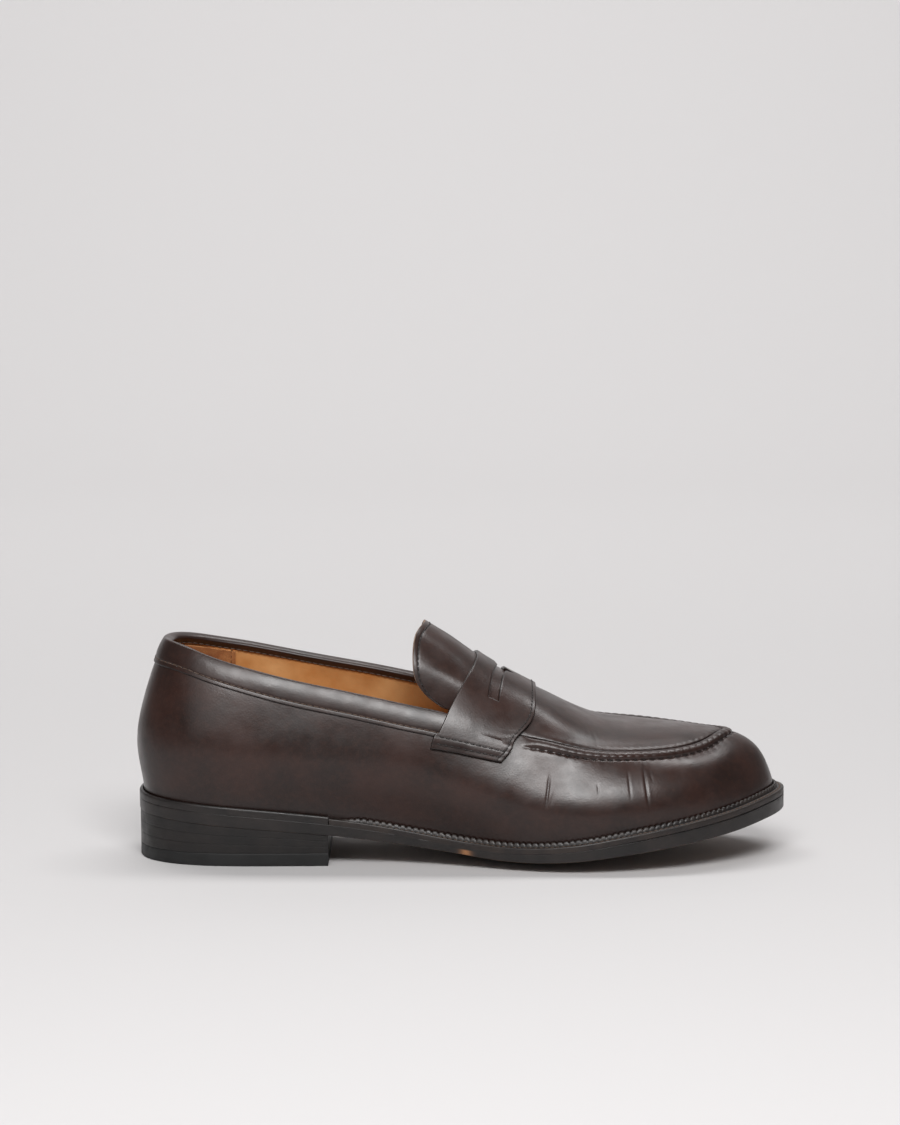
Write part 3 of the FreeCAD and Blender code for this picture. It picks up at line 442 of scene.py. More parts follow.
def over_seam(s, shares, last=RIDGE_END):
    """Rows from the wall's BREAK over its top edge and on to the apron, to last mm past that edge.
    Gives the points and how far each is past the edge."""
    low = wall(s, np.array([0.82, BREAK, 0.96, 1.0]))
    inner = inside_top(s, [2.0, 4.2, 7.0, 11.0])
    chain = np.concatenate([low[:, :3], inner], axis=1)
    places = chords(chain)
    edge = places[:, 2] + length_of(low[:, 3] - low[:, 2])[:, 0]
    start = places[:, 1:2] if last == RIDGE_END else edge[:, None] + APRON_EDGE
    t = start + (edge[:, None] + last - start) * shares[None]
    return curve_at(places, chain, slopes(places, chain), t), t - edge[:, None]


def stitch_phase(run):
    """Hand stitches along the seam so far, a little unevenly spaced."""
    return (run + 0.5 * np.sin(run / 17.0) + 0.35 * np.sin(run / 7.3)) / PUCKER_PITCH


def gathers(run):
    """Depth of the gathers along the seam, 0 between them and 1 at each stitch."""
    return 0.5 + 0.5 * np.cos(2 * math.pi * stitch_phase(run))


# The wall in rings from the welt up. Where there is no seam, its rows run on to the topline.
lower_rows = np.concatenate([[0, 0.02, 0.045], np.linspace(0.07, BREAK, 37, endpoint=False)])
ridge_shares = np.linspace(0, 1, 27)
wide = np.concatenate([columns[-3:] - ROUND, columns, columns[:3] + ROUND])
lower = wall(wide, lower_rows)
ridge_rows, past = over_seam(wide, ridge_shares)
plain_rows = wall(wide, BREAK + (0.99 - BREAK) * ridge_shares)
x_at = outline_at(wide)[0][:, 0]
turn = smooth_step(x_at, 12, 24)[:, None, None]
skin = np.concatenate([lower, plain_rows * (1 - turn) + ridge_rows * turn], axis=1)
square = normals(skin)

# The relief in mm: the domed ridge, the gathers' valley outside it and the step down to the apron.
run = seam_frame(wide)[2][:, None]
bite = gathers(run)
strength = smooth_step(x_at, 22, 31)[:, None]
toward_toe = 0.3 + 0.7 * smooth_step(x_at, 32, 80)[:, None]
inwards = np.concatenate([np.full(lower.shape[:2], -6.0), past], axis=1)
below = np.concatenate([-chords(lower[:, ::-1])[:, ::-1] + past[:, :1] - 1.0, past], axis=1)
dome = np.sqrt(np.clip(1 - ((inwards - RIDGE_MIDDLE) / RIDGE_HALF) ** 2, 0, 1))
height = dome * (RIDGE_HEIGHT - 0.18 * bite ** 2 * toward_toe)
height -= (0.25 + 0.7 * bite) * np.exp(-((inwards + 0.75) / 0.65) ** 2) * (0.4 + 0.6 * toward_toe)
height -= 1.1 * smooth_step(inwards, 4.0, RIDGE_END)
height += (0.08 * (0.5 - bite) * toward_toe) * np.exp(-((below + 2.2) / 1.6) ** 2)
height *= strength
# Painted shade darkens the gathers' valley outside the ridge and the step down to the apron.
valley_shade = np.exp(-((inwards + 0.75) / 0.55) ** 2) * (0.25 + 0.75 * bite) * (0.3 + 0.7 * toward_toe)
fold_shade = strength * (valley_shade + smooth_step(inwards, 3.9, 4.3))

# Creases from wear: place along the shoe, height, half length, depth, half width and lean.
CREASES = [
    (38.4, 36.5, 6.2, 0.34, 0.5, 0.14), (40.4, 33.5, 2.6, 0.12, 0.5, 0.30),
    (61.2, 37.5, 2.0, 0.16, 0.5, -0.1), (75.3, 39.0, 5.0, 0.16, 0.45, -0.10),
    (82.8, 38.5, 8.4, 0.30, 0.5, -0.14), (85.0, 43.0, 2.4, 0.12, 0.45, -0.3),
]
for x0, z0, reach, depth, half, lean in CREASES:
    for side, fade in ((-1, 1.0), (1, 0.75)):
        off = (skin[..., 0] - x0 - lean * (skin[..., 2] - z0)) / half
        span = np.exp(-((skin[..., 2] - z0) / reach) ** 4) * (skin[..., 1] * side > 0) * fade
        height += span * depth * (0.1 * np.exp(-((np.abs(off) - 2.6) / 1.5) ** 2) - np.exp(-off ** 2))
        # Painted shade lies along each crease's furrow.
        fold_shade = fold_shade + span * depth * np.exp(-(off / 0.8) ** 2)
height += 0.10 * ripple(skin, 30, 3) + 0.015 * ripple(skin, 9, 4)
# The back seam is a fine furrow from the welt to the collar, darkened with painted shade.
back = np.minimum(np.mod(wide, ROUND), ROUND - np.mod(wide, ROUND))[:, None]
height -= 0.55 * np.exp(-(back / 0.7) ** 2)
fold_shade = fold_shade + 0.8 * np.exp(-(back / 0.6) ** 2)
# The wall is painted darker towards the welt.
fold_shade = fold_shade + 0.45 * (1 - smooth_step(skin[..., 2] - sole_edge(x_at)[:, None], 8, 17))

outer = skin + square * height[..., None]
inner_rows = np.concatenate([np.arange(0, skin.shape[1] - 6, 6), [skin.shape[1] - 6, skin.shape[1] - 1]])
deepened = UPPER + 1.3 * strength * smooth_step(inwards, 3.6, RIDGE_END)
inner = (skin - square * deepened[..., None])[:, inner_rows][:, ::-1]
rings = np.concatenate([outer, inner], axis=1)[3:-3]
shades = np.concatenate([fold_shade, np.zeros(inner.shape[:2])], axis=1)[3:-3]
upper_wall = build("upper_wall_calf", rings, "joined", np.clip(shades, 0, 1))
dress(upper_wall, "shoe", "upper_calf", [calf], "upper_wall")

# ---- Apron -----------------------------------------------------------------------------------
# The plug over the toes is a separate piece of the same calf. Its edge is butted against the
# gathered wall and hand sewn to it, and fine wrinkles cross it where the shoe flexes.
spread_s = np.linspace(place_at(9, -1), place_at(9, 1), 420)
depths = np.array([0, 0.15, 0.35, 0.7, 1.2, 1.9, 2.8, 4.0, 5.4])
# Its outer rows follow the seam, and its inner rows run across to a spine along its middle.
rim, _ = over_seam(spread_s, depths / depths[-1], APRON_EDGE + depths[-1])
core = rim[:, -1]
mirror = core[::-1]
half_way = (core[:, 0] + mirror[:, 0]) / 2
spine_x = 9 + (half_way - 9) * 0.8
spine_y = crown_side(spine_x)
shares = np.linspace(0, 1, 24)[1:-1]
flat_x = core[:, None, 0] + (spine_x - core[:, 0])[:, None] * shares
flat_y = core[:, None, 1] + (spine_y - core[:, 1])[:, None] * shares
middle = np.stack([flat_x, flat_y, crown(flat_x, flat_y)], axis=2)
sheet_rows = np.concatenate([rim, middle], axis=1)
square = normals(sheet_rows)
square *= np.where(square[..., 2:] < 0, -1, 1)
edge = np.concatenate([depths, np.full(len(shares), 9.0)])[None]
bump = -0.8 * (1 - np.sqrt(np.clip(1 - (1 - np.minimum(edge, 0.9) / 0.9) ** 2, 0, 1)))
bump = bump + 0.22 * np.exp(-((edge - 2.0) / 1.4) ** 2)
rim_run = seam_frame(spread_s)[2][:, None]
bump = bump - 0.12 * gathers(rim_run) * np.exp(-((edge - 1.6) / 1.2) ** 2)
xs, ys = sheet_rows[..., 0], sheet_rows[..., 1]
# Wrinkles at the flex line: place along the shoe and across it, half length and depth.
WRINKLES = [(57.5, -8, 17, 0.05), (60.0, -12, 15, 0.09), (62.2, -6, 18, 0.07), (65.5, -4, 16, 0.05)]
for x0, y0, half, depth in WRINKLES:
    line = (xs - x0 - 1.2 * np.sin(ys / 7.0)) / 0.9
    furrow = 0.3 * np.exp(-((np.abs(line) - 2) / 1.1) ** 2) - np.exp(-line ** 2)
    bump = bump + depth * np.exp(-((ys - y0) / half) ** 4) * furrow
bump = bump + 0.08 * ripple(sheet_rows, 26, 8) + 0.015 * ripple(sheet_rows, 8, 9)
top_side = sheet_rows + square * bump[..., None]
under_side = (sheet_rows - square * UPPER)[:, [-1, 20, 14, 8, 4, 0]]
levels = np.concatenate([under_side, top_side], axis=1).transpose(1, 0, 2)
# Painted shade darkens the apron's edge where it lies against the ridge.
edge_shade = np.broadcast_to(0.9 * np.exp(-(edge / 0.6) ** 2), sheet_rows.shape[:2])
edge_shade = np.concatenate([np.zeros(under_side.shape[:2]), edge_shade], axis=1).T
apron = build("apron_calf", levels, "zip", edge_shade)
dress(apron, "shoe", "upper_calf", [calf], "apron")

# ---- Apron seam ------------------------------------------------------------------------------
# A waxed linen thread draws the wall's edge to the apron by hand, one short stitch in the bottom
# of each gather. The same node tree lays every other row of stitching on the shoe.
STITCH_INPUTS = (("Pitch", "NodeSocketFloat"), ("Length", "NodeSocketFloat"), ("Radius", "NodeSocketFloat"),
                 ("Rise", "NodeSocketFloat"), ("Seed", "NodeSocketInt"), ("Thread", "NodeSocketMaterial"))


def stitch_tree():
    """Short arcs of thread along the edges of a mesh, each turned to the stored outward direction."""
    tree = bpy.data.node_groups.new("thread_stitches", "GeometryNodeTree")
    tree.interface.new_socket("Geometry", in_out="INPUT", socket_type="NodeSocketGeometry")
    for label, kind in STITCH_INPUTS:
        tree.interface.new_socket(label, in_out="INPUT", socket_type=kind)
    tree.interface.new_socket("Geometry", in_out="OUTPUT", socket_type="NodeSocketGeometry")
    given = tree.nodes.new("NodeGroupInput").outputs
    row = add(tree, "GeometryNodeMeshToCurve", {"Mesh": given["Geometry"]})
    even = add(tree, "GeometryNodeResampleCurve", {"Curve": row, "Length": given["Pitch"]}, mode="LENGTH")
    spaced = add(tree, "FunctionNodeCompare", {0: given["Pitch"], 1: 0.0}, operation="GREATER_THAN")
    places = add(tree, "GeometryNodeSwitch", {"Switch": spaced, "False": row, "True": even},
                 input_type="GEOMETRY")
    # One stitch is an arc over the leather with both ends sunk into it.
    half = add(tree, "ShaderNodeMath", {0: given["Length"], 1: 0.5}, operation="MULTIPLY")
    minus = add(tree, "ShaderNodeMath", {0: half, 1: -1.0}, operation="MULTIPLY")
    sunk = add(tree, "ShaderNodeMath", {0: given["Rise"], 1: -0.9}, operation="MULTIPLY")
    start = add(tree, "ShaderNodeCombineXYZ", {"X": minus, "Z": sunk})
    top = add(tree, "ShaderNodeCombineXYZ", {"Z": given["Rise"]})
    end = add(tree, "ShaderNodeCombineXYZ", {"X": half, "Z": sunk})
    arc = add(tree, "GeometryNodeCurveQuadraticBezier",
              {"Resolution": 5, "Start": start, "Middle": top, "End": end})
    section = add(tree, "GeometryNodeCurvePrimitiveCircle", {"Resolution": 6, "Radius": given["Radius"]})
    stitch = add(tree, "GeometryNodeCurveToMesh",
                 {"Curve": arc, "Profile Curve": section, "Fill Caps": True})
    heading = add(tree, "GeometryNodeInputTangent", {})
    outward = add(tree, "GeometryNodeInputNamedAttribute", {"Name": "out"}, data_type="FLOAT_VECTOR")
    turned = add(tree, "FunctionNodeAxesToRotation", {"Primary Axis": heading, "Secondary Axis": outward},
                 primary_axis="X", secondary_axis="Z")
    uneven = {0: (0.88, 0.9, 0.85), 1: (1.06, 1.1, 1.15), "Seed": given["Seed"]}
    size = add(tree, "FunctionNodeRandomValue", uneven, data_type="FLOAT_VECTOR")
    laid = add(tree, "GeometryNodeInstanceOnPoints",
               {"Points": places, "Instance": stitch, "Rotation": turned, "Scale": size})
    real = add(tree, "GeometryNodeRealizeInstances", {0: laid})
    smooth = add(tree, "GeometryNodeSetShadeSmooth", {0: real})
    thread = add(tree, "GeometryNodeSetMaterial", {"Geometry": smooth, "Material": given["Thread"]})
    fill(tree.nodes.new("NodeGroupOutput"), {0: thread})
    return tree


STITCHES = stitch_tree()


def sew(name, rows, thread, pitch, length, radius, rise=0.35, seed=1):
    """Rows are (points, outward directions) in mm; a pitch of 0 puts one stitch on each point."""
    mesh = bpy.data.meshes.new(name)
    points = np.concatenate([p for p, _ in rows])
    edges, first = [], 0
    for p, _ in rows:
        edges += [(first + i, first + i + 1) for i in range(len(p) - 1)]
        first += len(p)
    mesh.from_pydata((points / 1000).tolist(), edges, [])
    outs = mesh.attributes.new("out", "FLOAT_VECTOR", "POINT")
    outs.data.foreach_set("vector", np.concatenate([o for _, o in rows]).astype(np.float32).ravel())
    guide = bpy.data.objects.new(name + "_guide", mesh)
    bpy.context.scene.collection.objects.link(guide)
    modifier = guide.modifiers.new("stitches", "NODES")
    modifier.node_group = STITCHES
    values = (pitch / 1000, length / 1000, radius / 1000, rise / 1000, seed, thread)
    names = {item.name: item.identifier for item in STITCHES.interface.items_tree if item.in_out == "INPUT"}
    for (label, _), value in zip(STITCH_INPUTS, values):
        modifier[names[label]] = value
    graph = bpy.context.evaluated_depsgraph_get()
    graph.update()
    real = bpy.data.meshes.new_from_object(guide.evaluated_get(graph))
    bpy.data.objects.remove(guide)
    made = bpy.data.objects.new(name, real)
    made.data.name = name
    bpy.context.scene.collection.objects.link(made)
    return made


def thread_finish(name, dark, light):
    """Waxed twisted thread: slanting light and dark plies, a little shiny."""
    made, tree, shader, mm = start_material(name)
    twist = add(tree, "ShaderNodeTexWave", {"Vector": mm, "Scale": 0.9, "Distortion": 1.0}, "Fac",
                bands_direction="DIAGONAL")
    colour = add(tree, "ShaderNodeMix", {0: twist, 6: linear(dark), 7: linear(light)}, 2, data_type="RGBA")
    fill(shader, {"Base Color": colour, "Roughness": 0.5, "Normal": embossed(tree, mm, [(twist, 0.06)])})
    return made


def column_points(grid, marks, wanted):
    """The point of each column of a grid where its marks (n, m) reach the wanted value."""
    at = np.array([np.interp(wanted, marks[i], np.arange(marks.shape[1])) for i in range(len(grid))])
    low = np.clip(at.astype(int), 0, grid.shape[1] - 2)
    share = (at - low)[:, None]
    rows = np.arange(len(grid))
    return grid[rows, low] * (1 - share) + grid[rows, low + 1] * share


dark_thread = thread_finish("waxed_linen_thread_dark", "#0d0807", "#1f1511")
brown_thread = thread_finish("waxed_polyester_thread_brown", "#33251d", "#5b4536")
SEAM_LINE = -0.75        # the stitches lie in the valley just outside the ridge
seam_points = column_points(outer[:, len(lower_rows):], past, SEAM_LINE)
seam_out = column_points(normals(skin)[:, len(lower_rows):], past, SEAM_LINE)
shown = x_at > 29
phase = stitch_phase(run[:, 0])
whole = np.arange(math.ceil(phase[shown][0]), math.floor(phase[shown][-1]))
at_bite = [np.column_stack([np.interp(whole, phase[shown], grid[shown, i]) for i in range(3)])
           for grid in (seam_points + seam_out * 0.16, seam_out)]
apron_thread = sew("apron_seam_hand_stitches", [tuple(at_bite)], dark_thread, 0.0, 2.3, 0.32, 0.4, 3)
dress(apron_thread, "shoe", "sewing_thread", [], "apron_seam_thread")

# ---- Linings ---------------------------------------------------------------------------------
# Undyed calf lines the quarters and the vamp. Inside the heel a suede grip, flesh side out, is
# stitched over it so that the foot doesn't slip.
PLY = 0.2                # the layers stand this far apart
STIFFENER = 1.0          # counter, puff and canvas
INNER = -UPPER - PLY - STIFFENER - PLY
LINING = 0.9


def ply(s, v, low, high, relief_at=None):
    """Rings of a sheet inside the wall between two distances from its outer face, with its inner
    side and the directions square to it."""
    grid = wall(s, v)
    square = normals(grid)
    inside = grid + square * (low if relief_at is None else low + relief_at(grid)[..., None])
    return np.concatenate([grid + square * high, inside[:, ::-1]], axis=1), inside, square


def lining_finish(name, dark, light, rough):
    """Full grain lining leather, smooth and pale, and darker from the heel toward the toe."""
    made, tree, shader, mm = start_material(name)
    colour = clouded(tree, mm, 16, 0.32, 0.68, linear(dark), linear(light))
    ahead = add(tree, "ShaderNodeSeparateXYZ", {0: mm})
    darker_ahead = add(tree, "ShaderNodeMapRange", {0: ahead, 1: -95, 2: 5, 4: 0.75})
    colour = add(tree, "ShaderNodeMix", {0: darker_ahead, 6: colour, 7: linear("#9a6234")}, 2, data_type="RGBA")
    relief = embossed(tree, mm, [((1.3, 3.0), 0.03), ((9, 2.0), 0.18)])
    fill(shader, {"Base Color": colour, "Roughness": rough, "Normal": relief})
    return made


def lining_waves(grid):
    return 0.28 * ripple(grid, 24, 12) + 0.08 * ripple(grid, 8, 13)


tan = lining_finish("lining_calf_vegetable_tanned", "#c98a4e", "#e6b277", 0.5)
height_rows = np.linspace(0.05, 0.985, 46)
for word, first, last in (("lateral", 0.25, place_at(10, -1)), ("medial", place_at(10, 1), ROUND - 0.25)):
    rings, _, _ = ply(np.linspace(first, last, 150), height_rows, INNER - LINING, INNER, lining_waves)
    lining = build("quarter_lining_" + word + "_leather", rings)
    dress(lining, "shoe", "lining_leather", [tan], "quarter_lining_" + word)
vamp_s = np.linspace(place_at(12, -1), place_at(12, 1), 220)
rings, _, _ = ply(vamp_s, np.linspace(0.05, 0.88, 24), INNER - LINING, INNER)
dress(build("vamp_lining_leather", rings), "shoe", "lining_leather", [tan], "vamp_lining")

lining_half = along((14, 29.0), (36, 30.0), (60, 29.5), (84, 25.0), (104, 15.5), (112, 10.0))
line_x = np.linspace(15, 112, 70)[:, None] + np.zeros((1, 40))
line_y = crown_side(line_x) + np.linspace(-1, 1, 40)[None] * lining_half(line_x)
grid = np.stack([line_x, line_y, crown(line_x, line_y)], axis=2)
up = normals(grid)
rings = np.concatenate([grid + up * (-UPPER - 0.1), (grid + up * (-UPPER - 0.1 - LINING))[:, ::-1]], axis=1)
dress(build("apron_lining_leather", rings), "shoe", "lining_leather", [tan], "apron_lining")

suede = fibrous("heel_grip_suede", "#8c5530", "#b8804f", 0.95, 0.7, 0.10)
GRIP_FRONT = -107
GRIP_LOW, GRIP_TOP = 0.14, 0.95   # as shares of the wall's height
GRIP_INNER = INNER - PLY - LINING


def nap(grid):
    return 0.06 * ripple(grid, 2.2, 21) + 0.2 * ripple(grid, 18, 22)


grip_s = np.linspace(place_at(GRIP_FRONT, 1), place_at(GRIP_FRONT, -1) + ROUND, 170)
grip_rows = np.linspace(GRIP_LOW, GRIP_TOP, 60)
rings, grip_skin, grip_square = ply(grip_s, grip_rows, GRIP_INNER - LINING, GRIP_INNER, nap)
dress(build("heel_grip_suede_piece", rings), "shoe", "heel_grip_suede", [suede], "heel_grip")
tan_thread = thread_finish("waxed_polyester_thread_tan", "#6d4529", "#9a6a42")
both_edges = [(grip_skin[i, 8:], -grip_square[i, 8:]) for i in (3, -4)]
grip_thread = sew("heel_grip_stitches", both_edges, tan_thread, 2.6, 1.9, 0.26, 0.3, 5)
dress(grip_thread, "shoe", "sewing_thread", [])

# ---- Stiffeners ------------------------------------------------------------------------------
# Pasted between upper and lining: a leather board counter round the heel, a puff in the toe and
# canvas along the sides. They are closed in and only give the upper its stand.
board = fibrous("leather_board_pasted", "#6b5540", "#8b7458", 0.85)
for name in ("heel_counter", "toe_puff"):
    finish_node(name, board)
for name in ("interlining_lateral", "interlining_medial"):
    finish_node(name, canvas)

# ---- Collar ----------------------------------------------------------------------------------
# A strip of the same calf, skived thin, is sewn along its lower edge, drawn over the topline and
# turned down inside, so the topline is a soft padded roll.
COLLAR_WIDTH = 11.5
COLLAR = 0.75
FOLD_DEPTH = 4.25        # from the wall's outer face to the strip's inner fold
FOLD_DOWN = 3.0          # how far the strip runs down inside the shoe
STITCH_AT = 0.2          # the stitch row, as a share of the strip's width
collar_s = np.linspace(place_at(1, 1), place_at(1, -1) + ROUND, 460)
ends = wall(collar_s, np.array([0.8, 1.0]))
per_mm = 0.2 / length_of(ends[:, 1] - ends[:, 0])[:, 0]   # share of the wall's height in one mm
seam_v = 1 - COLLAR_WIDTH * per_mm
widths = np.array([0, 0.006, 0.018, 0.035, 0.06, 0.1, 0.14, 0.17, 0.185, 0.2, 0.215, 0.23, 0.26, 0.32, 0.4,
                   0.5, 0.6, 0.7, 0.8, 0.88, 0.95, 1.0])
collar_grid = wall(collar_s, seam_v[:, None] + (1 - seam_v[:, None]) * widths)
collar_square = normals(collar_grid)
puff = COLLAR - 0.62 * (1 - np.clip(widths / 0.035, 0, 1)) ** 2
puff = puff - 0.26 * np.exp(-((widths - STITCH_AT) / 0.022) ** 2)
puff = puff + 0.3 * np.sin(np.pi * np.clip((widths - 0.24) / 0.76, 0, 1)) ** 0.8
collar_run = chords(collar_grid[None, :, -1])[0]
uneven = 0.045 * ripple(collar_grid, 18, 31) + 0.012 * ripple(collar_grid, 6, 32)
outside = collar_grid + collar_square * (puff[None] + uneven * np.clip(widths / 0.3, 0, 1))[..., None]
top_edge, top_square = collar_grid[:, -1], collar_square[:, -1]
lean = top_edge - collar_grid[:, -4]
lean /= length_of(lean)
tail = np.minimum(collar_run, collar_run[-1] - collar_run)
loft = smooth_step(tail, 2.0, 14.0)[:, None, None] + 0.25
theta = np.linspace(0, np.pi, 13)[None, 1:-1, None]
half_width = (COLLAR + FOLD_DEPTH) / 2
centre = top_edge + top_square * (COLLAR - FOLD_DEPTH) / 2
roll = (centre[:, None] + top_square[:, None] * half_width * np.cos(theta)
        + lean[:, None] * loft * np.sin(theta) ** 0.85)
downs = np.array([0, 0.12, 0.3, 0.5, 0.68, 0.8, 0.86, 0.92, 0.97, 1.0])
inside_grid = wall(collar_s, 1 - (FOLD_DOWN * per_mm)[:, None] * downs)
inside_square = normals(inside_grid[:, ::-1])[:, ::-1]
skived = 0.42 * np.clip((downs - 0.92) / 0.08, 0, 1)
thick = FOLD_DEPTH - skived - 0.12 * np.exp(-((downs - 0.82) / 0.04) ** 2)
inside = inside_grid - inside_square * thick[None, :, None]
back_in = inside_grid[:, ::-1] - inside_square[:, ::-1] * (FOLD_DEPTH - 0.5)
back_out = collar_grid[:, ::-2] + collar_square[:, ::-2] * 0.06
rings = np.concatenate([outside, roll, inside, back_in, back_out], axis=1)
collar_shade = np.zeros(rings.shape[:2])
# Painted shade in the stitch row's dip and along the strip's sewn lower edge; the whole strip and its roll
# are painted a little darker.
stitch_dip = 0.75 * np.exp(-((widths - STITCH_AT) / 0.02) ** 2)
collar_shade[:, :len(widths)] = stitch_dip + np.exp(-(widths / 0.035) ** 2) + 0.12
collar_shade[:, len(widths):len(widths) + theta.shape[1]] = 0.1
collar = build("collar_strip_calf", rings, "zip", collar_shade)
dress(collar, "shoe", "upper_calf", [calf], "collar_strip")

at_stitch = int(np.argmin(np.abs(widths - STITCH_AT)))
row = outside[:, at_stitch] + collar_square[:, at_stitch] * 0.14
in_row = inside[:, 5] - inside_square[:, 5] * 0.1
keep = slice(12, -12)
collar_rows = [(row[keep], collar_square[keep, at_stitch]), (in_row[keep], -inside_square[keep, 5])]
collar_thread = sew("collar_stitches", collar_rows, brown_thread, 3.0, 2.5, 0.3, 0.3, 7)
dress(collar_thread, "shoe", "sewing_thread", [], "collar_stitching")

# ---- Tongue ----------------------------------------------------------------------------------
# One piece of calf with its own lining, sewn down under the saddle strap. Its upper end is free;
# the cut edge is left raw, with a row of stitching inside it.
TONGUE_HALF = 39.0
TONGUE_FOOT = 13.0
TONGUE_SIDE = 23.0       # from here outwards the tongue's sides curl down inside the collar
tongue_free = along((0, -17.0), (8, -18.6), (16, -21.4), (22, -22.4), (26, -22.3), (30, -21.4), (34, -18.6),
                    (37, -14.4), (39, -9.0))
from_side = np.array([0, 0.1, 0.3, 0.7])
across = np.concatenate([from_side - TONGUE_HALF, np.linspace(-37.7, 37.7, 160),
                         TONGUE_HALF - from_side[::-1]])
TONGUE_ROW = 2.3         # the stitch row's distance from the free edge
rows_mm = np.array([0, 0.08, 0.2, 0.4, 0.7, 1.1, 1.6, 2.0, TONGUE_ROW, 2.6, 3.0, 3.6])
at_row = list(rows_mm).index(TONGUE_ROW)
# On the medial side the edge is cut a little straighter.
centre_x = tongue_free(0.0)
straighter = np.where(across < 0, 1.0, np.where(across < 26, 0.35, 0.5))
free_x = centre_x + (tongue_free(np.abs(across)) - centre_x) * straighter


def tongue_sheet(first, low, high, rows, groove=0.0, seed=41):
    """Rings of a sheet under the crown from the tongue's free edge to its foot, with its upper side
    and the directions square to it."""
    start = (free_x + first)[:, None]
    rest = start + rows[-1]
    x = np.concatenate([start + rows, rest + (TONGUE_FOOT - rest) * np.linspace(0, 1, 28)[1:]], axis=1)
    past = np.maximum(np.abs(across) - TONGUE_SIDE, 0)
    curl = past ** 2 / (past + 5)
    y = np.broadcast_to((np.sign(across) * (np.abs(across) - 0.96 * curl))[:, None], x.shape)
    grid = np.stack([x, y, crown(x, y) - np.broadcast_to((0.8 * curl)[:, None], x.shape)], axis=2)
    square = -normals(grid)
    inset = x - start
    side = np.broadcast_to((TONGUE_HALF - np.abs(across))[:, None], x.shape)
    dip = groove * np.exp(-((inset - TONGUE_ROW) / 0.45) ** 2)
    wave = (0.14 * ripple(grid, 30, seed) + 0.02 * ripple(grid, 9, seed + 1)) * smooth_step(-x, -4, 3)
    round_off = 0.3 * (1 - np.clip(np.minimum(inset, side) / 0.3, 0, 1)) ** 2
    top = grid + square * (high - round_off - dip + wave)[..., None]
    bottom = grid + square * (low + wave)[..., None]
    return np.concatenate([top, bottom[:, ::-1]], axis=1), top, square


rings, tongue_top, tongue_square = tongue_sheet(0.0, -UPPER, 0.0, rows_mm, 0.16)
bands = np.zeros(rings.shape[1])
bands[[0, 1, -1]] = 1    # the strips along the cut edge
# Painted shade lies in the groove along the stitch row.
tongue_shade = np.zeros(rings.shape[:2])
tongue_shade[:, at_row - 1:at_row + 2] = (0.5, 1.0, 0.5)
tongue = build("tongue_calf", rings, "zip", tongue_shade, bands)
raw_edge = fibrous("calf_cut_edge_raw", "#6a5344", "#a08c7c", 0.9, 0.5, 0.10)
dress(tongue, None, "upper_calf", [calf, raw_edge], "tongue_flap", "tongue_base")
rings, _, _ = tongue_sheet(0.7, -UPPER - 0.06 - LINING, -UPPER - 0.06, rows_mm)
tongue_lining = build("tongue_lining_leather", rings)
dress(tongue_lining, None, "lining_leather", [tan], "tongue_flap_lining")
for piece in (tongue, tongue_lining):
    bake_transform(piece)
sewn, facing = tongue_top[10:-10, at_row], tongue_square[10:-10, at_row]
tongue_row = (sewn + facing * 0.12, facing)
tongue_thread = sew("tongue_edge_stitches", [tongue_row], dark_thread, 2.5, 1.9, 0.3, 0.34, 9)
dress(tongue_thread, "tongue", "sewing_thread", [], "tongue_edge_stitching")

# ---- Saddle strap ----------------------------------------------------------------------------
# A calf strap lies over the instep with the keeper slot punched through its middle. Its ends are
# sewn flat to the quarters; its edges are turned, painted and stitched.
STRAP = 1.3
STRAP_LIFT = 0.85
SLOT_HALF = 24.5
SLOT_REAR, SLOT_FRONT = (15.6, 11.3), (19.7, 16.0)   # x of its edges on the crown and at its ends
SLOT_POINT, NOTCH_HALF = 23.0, 3.0
TAB_START, TAB_STEP = 0.885, 1.4   # the tabs stand out behind the strap
EDGE_ROW, TAB_ROWS = 1.9, (2.4, 5.6)   # the stitch rows, in from the front edge and from the tab's end
# x of the strap's rear and front edges, from its middle (0) to a tab's end (1).
strap_rear = along((0.0, 6.5), (0.28, 4.0), (0.42, 0.9), (0.59, -3.3), (0.75, -7.6), (0.88, -10.8),
                   (1.0, -12.6))
strap_front = along((0.0, 33.5), (0.2, 33.4), (0.4, 33.1), (0.55, 31.5), (0.67, 28.2), (0.8, 22.6),
                    (1.0, 16.0))


def over_instep(x, t):
    """Points over the instep: x and t (n,), t from -1 half way down the lateral wall to 1 on the
    medial wall. Gives also the two t where it crosses the wall's top edge."""
    halves = []
    for side in (-1, 1):
        s = place_at(x, side)
        low = wall(s, np.array([0.50, 0.64, 0.78, 0.90, 1.0]))
        y = low[:, 4, 1:2] * np.array([0.97, 0.8, 0.55, 0.28])
        wide_x = np.broadcast_to(x[:, None], y.shape)
        halves.append(np.concatenate([low[:, :4], np.stack([wide_x, y, crown(wide_x, y)], axis=2)], axis=1))
    middle = np.stack([x, 0 * x, crown(x, 0 * x)], axis=1)[:, None]
    chain = np.concatenate([halves[0], middle, halves[1][:, ::-1]], axis=1)
    places = chords(chain) - chords(chain)[:, 8:9]
    places = np.where(places < 0, places / -places[:, :1], places / places[:, -1:])
    return curve_at(places, chain, slopes(places, chain), t[:, None])[:, 0], places[:, [3, 13]]


def strap_grid(reach, share):
    """Points under the strap: reach (n, m) from tab to tab and share (n, m) from rear to front."""
    far = np.abs(reach)
    x = strap_rear(far) + (strap_front(far) - strap_rear(far)) * share
    x = x - TAB_STEP * smooth_step(far, TAB_START, TAB_START + 0.012) * (1 - share)
    t = reach * (0.83 - 0.04 * share)
    points, marks = over_instep(x.ravel(), t.ravel())
    return points.reshape(x.shape + (3,)), t, marks.reshape(x.shape + (2,))


